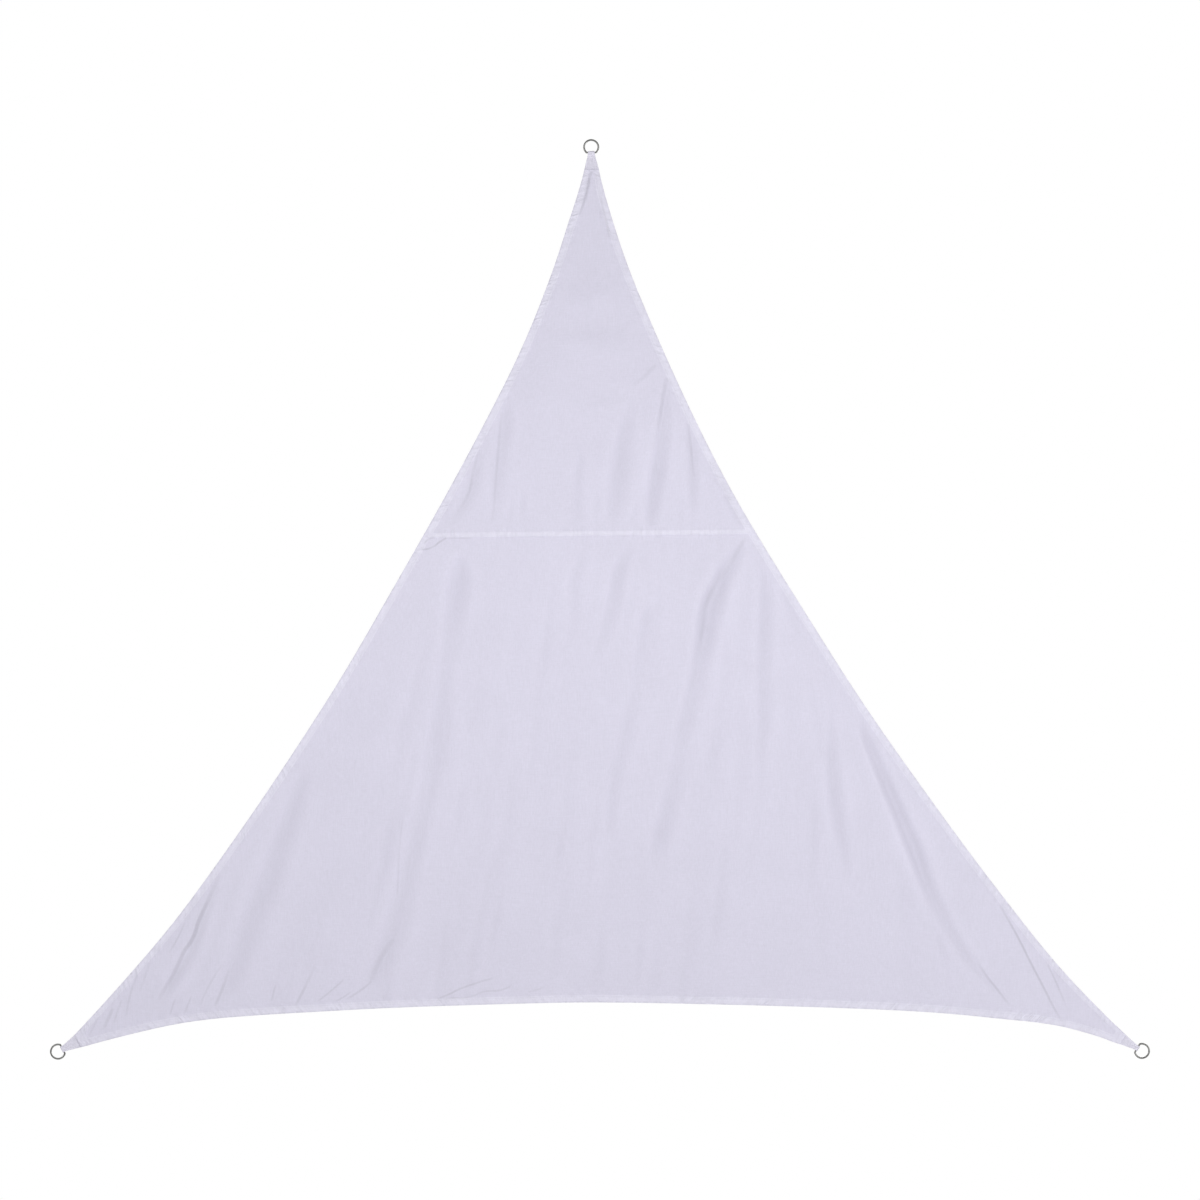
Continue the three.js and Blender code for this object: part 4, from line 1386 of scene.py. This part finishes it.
def mark_stitching(upper, lower):
    """Keeps the lines that the stitches of the hems and the seam follow."""
    for sheet in (upper, lower):
        stitch_lines["hem_stitches_front"] += side_hem_lines(sheet.front)
        stitch_lines["hem_stitches_back"] += side_hem_lines(sheet.back)
    stitch_lines["hem_stitches_front"].append(lower.front[-1 - HEM_STITCH])
    stitch_lines["hem_stitches_back"].append(lower.back[-1 - HEM_STITCH])
    stitch_lines["seam_stitches"] += [upper.front[-1 - place] for place in SEAM_STITCHES]
    stitch_lines["seam_stitches"] += [lower.back[place] for place in SEAM_STITCHES]


def laid_on(piece, corner, places, side):
    """Points of a corner's plan laid on the front (side -1) or the back (side 1) of a piece."""
    line = []
    for along, across in places:
        x, z = corner_place(corner, along, across)
        hit, place, _, _ = piece.ray_cast(Vector((x, side * RAY_START, z)), Vector((0, -side, 0)))
        if not hit:
            raise RuntimeError(f"{piece.name}: a row of stitches runs off the cloth")
        line.append(place)
    return line


def tab_lines():
    """A box of stitches that sews each strap to its tip, seen on the cloth and on the strap."""
    bpy.context.view_layer.update()
    lines = []
    for name, corner in CORNERS.items():
        cloth = bpy.data.objects["upper_cloth" if name == "top" else "lower_cloth"]
        strap = bpy.data.objects[f"strap_{name}"]
        half = TAB_STITCH_SHARE * corner.tip_width / 2
        spread, run = (np.linspace(*ends, TAB_STITCH_POINTS) for ends in ((-half, half), TAB_STITCH_RUN))
        box = [[(end, across) for across in spread] for end in TAB_STITCH_RUN]
        box += [[(along, across) for along in run] for across in (-half, half)]
        for places in box:
            lines.append(laid_on(cloth, corner, places, -1))
            lines.append(laid_on(strap, corner, places, 1))
    return lines


class MakePanels(bpy.types.Operator):
    """Makes the two cloth panels with their hems and the lapped seam"""

    bl_idname = "shade_sail.make_panels"
    bl_label = "Cloth panels"

    def execute(self, context):
        cloth = context.scene.shade_sail_cloth
        material = cloth_material(cloth)
        upper = panel_piece("upper_cloth", upper_rows(cloth.upper_step), cloth)
        lower = panel_piece("lower_cloth", lower_rows(cloth.lower_step), cloth)
        finish_piece(upper.piece, material, "cloth", "upper_panel")
        finish_piece(lower.piece, material, "cloth", "lower_panel")
        mark_stitching(upper, lower)
        return {"FINISHED"}


class MakeStraps(bpy.types.Operator):
    """Makes the strap that is looped round each ring"""

    bl_idname = "shade_sail.make_straps"
    bl_label = "Corner straps"

    def execute(self, context):
        fittings = context.scene.shade_sail_fittings
        material = strap_material(fittings)
        for name, corner in CORNERS.items():
            piece = strap_piece(f"strap_{name}", corner, fittings)
            finish_piece(piece, material, "strap", f"corner_tab_{name}")
        return {"FINISHED"}


class MakeRings(bpy.types.Operator):
    """Makes the ring of round wire at each corner"""

    bl_idname = "shade_sail.make_rings"
    bl_label = "Corner rings"

    def execute(self, context):
        fittings = context.scene.shade_sail_fittings
        material = wire_material(fittings)
        for name, corner in CORNERS.items():
            piece = ring_piece(f"wire_ring_{name}", corner, fittings)
            finish_piece(piece, material, "ring_wire", f"ring_{name}")
        return {"FINISHED"}


class MakeStitching(bpy.types.Operator):
    """Sews the hems, the seam and the straps with rows of stitches"""

    bl_idname = "shade_sail.make_stitching"
    bl_label = "Stitching"

    def execute(self, context):
        stitching = context.scene.shade_sail_stitching
        material = thread_material(stitching)
        tree, inputs = stitch_tree(stitching)
        stitch_lines["tab_stitches"] = tab_lines()
        for name, lines in stitch_lines.items():
            piece = stitching_piece(name, lines, tree, inputs, stitching, material)
            finish_piece(piece, material, "cloth")
        return {"FINISHED"}


# ---------------------------------------------------------------- stage

# Soft lamps, each facing the sail's middle: name, place, width and height, and power.
LAMPS = (
    ("long", (0.0, -2.4, -0.9), (5.0, 0.8), 27),
    ("left", (-4.6, -4.2, -0.9), (2.0, 2.0), 96),
    ("right", (4.6, -4.2, -1.6), (2.6, 2.6), 127),
    ("back", (2.5, 5.5, -0.6), (3.0, 3.0), 150),
)
WHITE = (1, 1, 1, 1)
ROOM_SPAN = (-0.8, 0.6)  # the room's light grows between these directions, from front to back
ROOM_LIGHT = (0.30, 0.62)
FLOOR_RADIUS = 2.5
FLOOR_SIDES = 128
SENSOR_WIDTH = 36.0
VIEW_CENTRE = (0.0246, -1.2855)  # what the camera looks at, as x and z


def soft_light(name, place, target, size, power):
    light = bpy.data.lights.new(name, "AREA")
    light.shape = "RECTANGLE"
    light.size, light.size_y = size
    light.energy = power
    lamp = link_piece(name, light)
    lamp.location = place
    lamp.rotation_euler = (Vector(target) - Vector(place)).to_track_quat("-Z", "Y").to_euler()
    lamp.visible_camera = False


def studio_world():
    """An even pale room: white where the camera sees it, and softer as light."""
    world = bpy.data.worlds.new("studio")
    world.use_nodes = True
    world.node_tree.nodes.clear()
    nodes = Nodes(world.node_tree)
    place = nodes.parts(nodes.add("ShaderNodeTexCoord").outputs["Generated"])
    light = nodes.span(place["Y"], *ROOM_SPAN, *ROOM_LIGHT)
    lit = nodes.made("ShaderNodeBackground", {"Color": WHITE, "Strength": light})
    seen = nodes.made("ShaderNodeBackground", {"Color": WHITE})
    by_camera = nodes.add("ShaderNodeLightPath").outputs["Is Camera Ray"]
    both = nodes.made("ShaderNodeMixShader", {0: by_camera, 1: lit, 2: seen})
    nodes.add("ShaderNodeOutputWorld", {"Surface": both})
    return world


def round_floor(centre, level):
    turns = np.linspace(0, 2 * math.pi, FLOOR_SIDES + 1)[:-1]
    rim = [(centre.x + FLOOR_RADIUS * math.cos(turn), FLOOR_RADIUS * math.sin(turn), level) for turn in turns]
    floor = new_piece("floor", rim, [tuple(range(FLOOR_SIDES))])
    floor.data.materials.append(floor_material())
    return floor


class MakeStage(bpy.types.Operator):
    """Makes the floor, the soft lights and the camera"""

    bl_idname = "shade_sail.make_stage"
    bl_label = "Stage"

    def execute(self, context):
        stage, scene = context.scene.shade_sail_stage, context.scene
        low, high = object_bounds()
        round_floor((low + high) / 2, low.z - stage.drop)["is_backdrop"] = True
        for name, place, size, power in LAMPS:
            soft_light(name, place, (0.0, 0.0, place[2]), size, power)
        scene.world = studio_world()
        scene.view_settings.view_transform = "Standard"
        camera = bpy.data.cameras.new("camera")
        camera.lens = stage.lens
        camera.sensor_width = SENSOR_WIDTH
        distance = stage.view_width * camera.lens / camera.sensor_width
        viewer = link_piece("camera", camera)
        viewer.location = (VIEW_CENTRE[0], -distance, VIEW_CENTRE[1])
        viewer.rotation_euler = (math.pi / 2, 0, 0)
        scene.camera = viewer
        return {"FINISHED"}


# ---------------------------------------------------------------- sidebar and script


class ShadeSailPanel(bpy.types.Panel):
    """Sizes, colours and steps of the shade sail"""

    bl_idname = "VIEW3D_PT_shade_sail"
    bl_label = "Shade sail"
    bl_space_type = "VIEW_3D"
    bl_region_type = "UI"
    bl_category = "Shade sail"

    def draw(self, context):
        column = self.layout.column()
        for group, name in GROUPS.items():
            settings = getattr(context.scene, name)
            box = column.box()
            for setting in group.__annotations__:
                box.prop(settings, setting)
        for step in STEPS:
            column.operator(step.bl_idname)


GROUPS = {
    ShadeSailCloth: "shade_sail_cloth",
    ShadeSailFittings: "shade_sail_fittings",
    ShadeSailStitching: "shade_sail_stitching",
    ShadeSailStage: "shade_sail_stage",
}
STEPS = (MakePanels, MakeStraps, MakeRings, MakeStitching, MakeStage)


def register():
    for group, name in GROUPS.items():
        bpy.utils.register_class(group)
        setattr(bpy.types.Scene, name, PointerProperty(type=group))
    for step in (*STEPS, ShadeSailPanel):
        bpy.utils.register_class(step)


def unregister():
    for step in (*STEPS, ShadeSailPanel):
        bpy.utils.unregister_class(step)
    for group, name in GROUPS.items():
        delattr(bpy.types.Scene, name)
        bpy.utils.unregister_class(group)


def main():
    register()
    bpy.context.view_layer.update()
    bpy.ops.shade_sail.make_panels()
    bpy.ops.shade_sail.make_straps()
    bpy.ops.shade_sail.make_rings()
    bpy.ops.shade_sail.make_stitching()
    bpy.ops.shade_sail.make_stage()


if __name__ == "__main__":
    main()
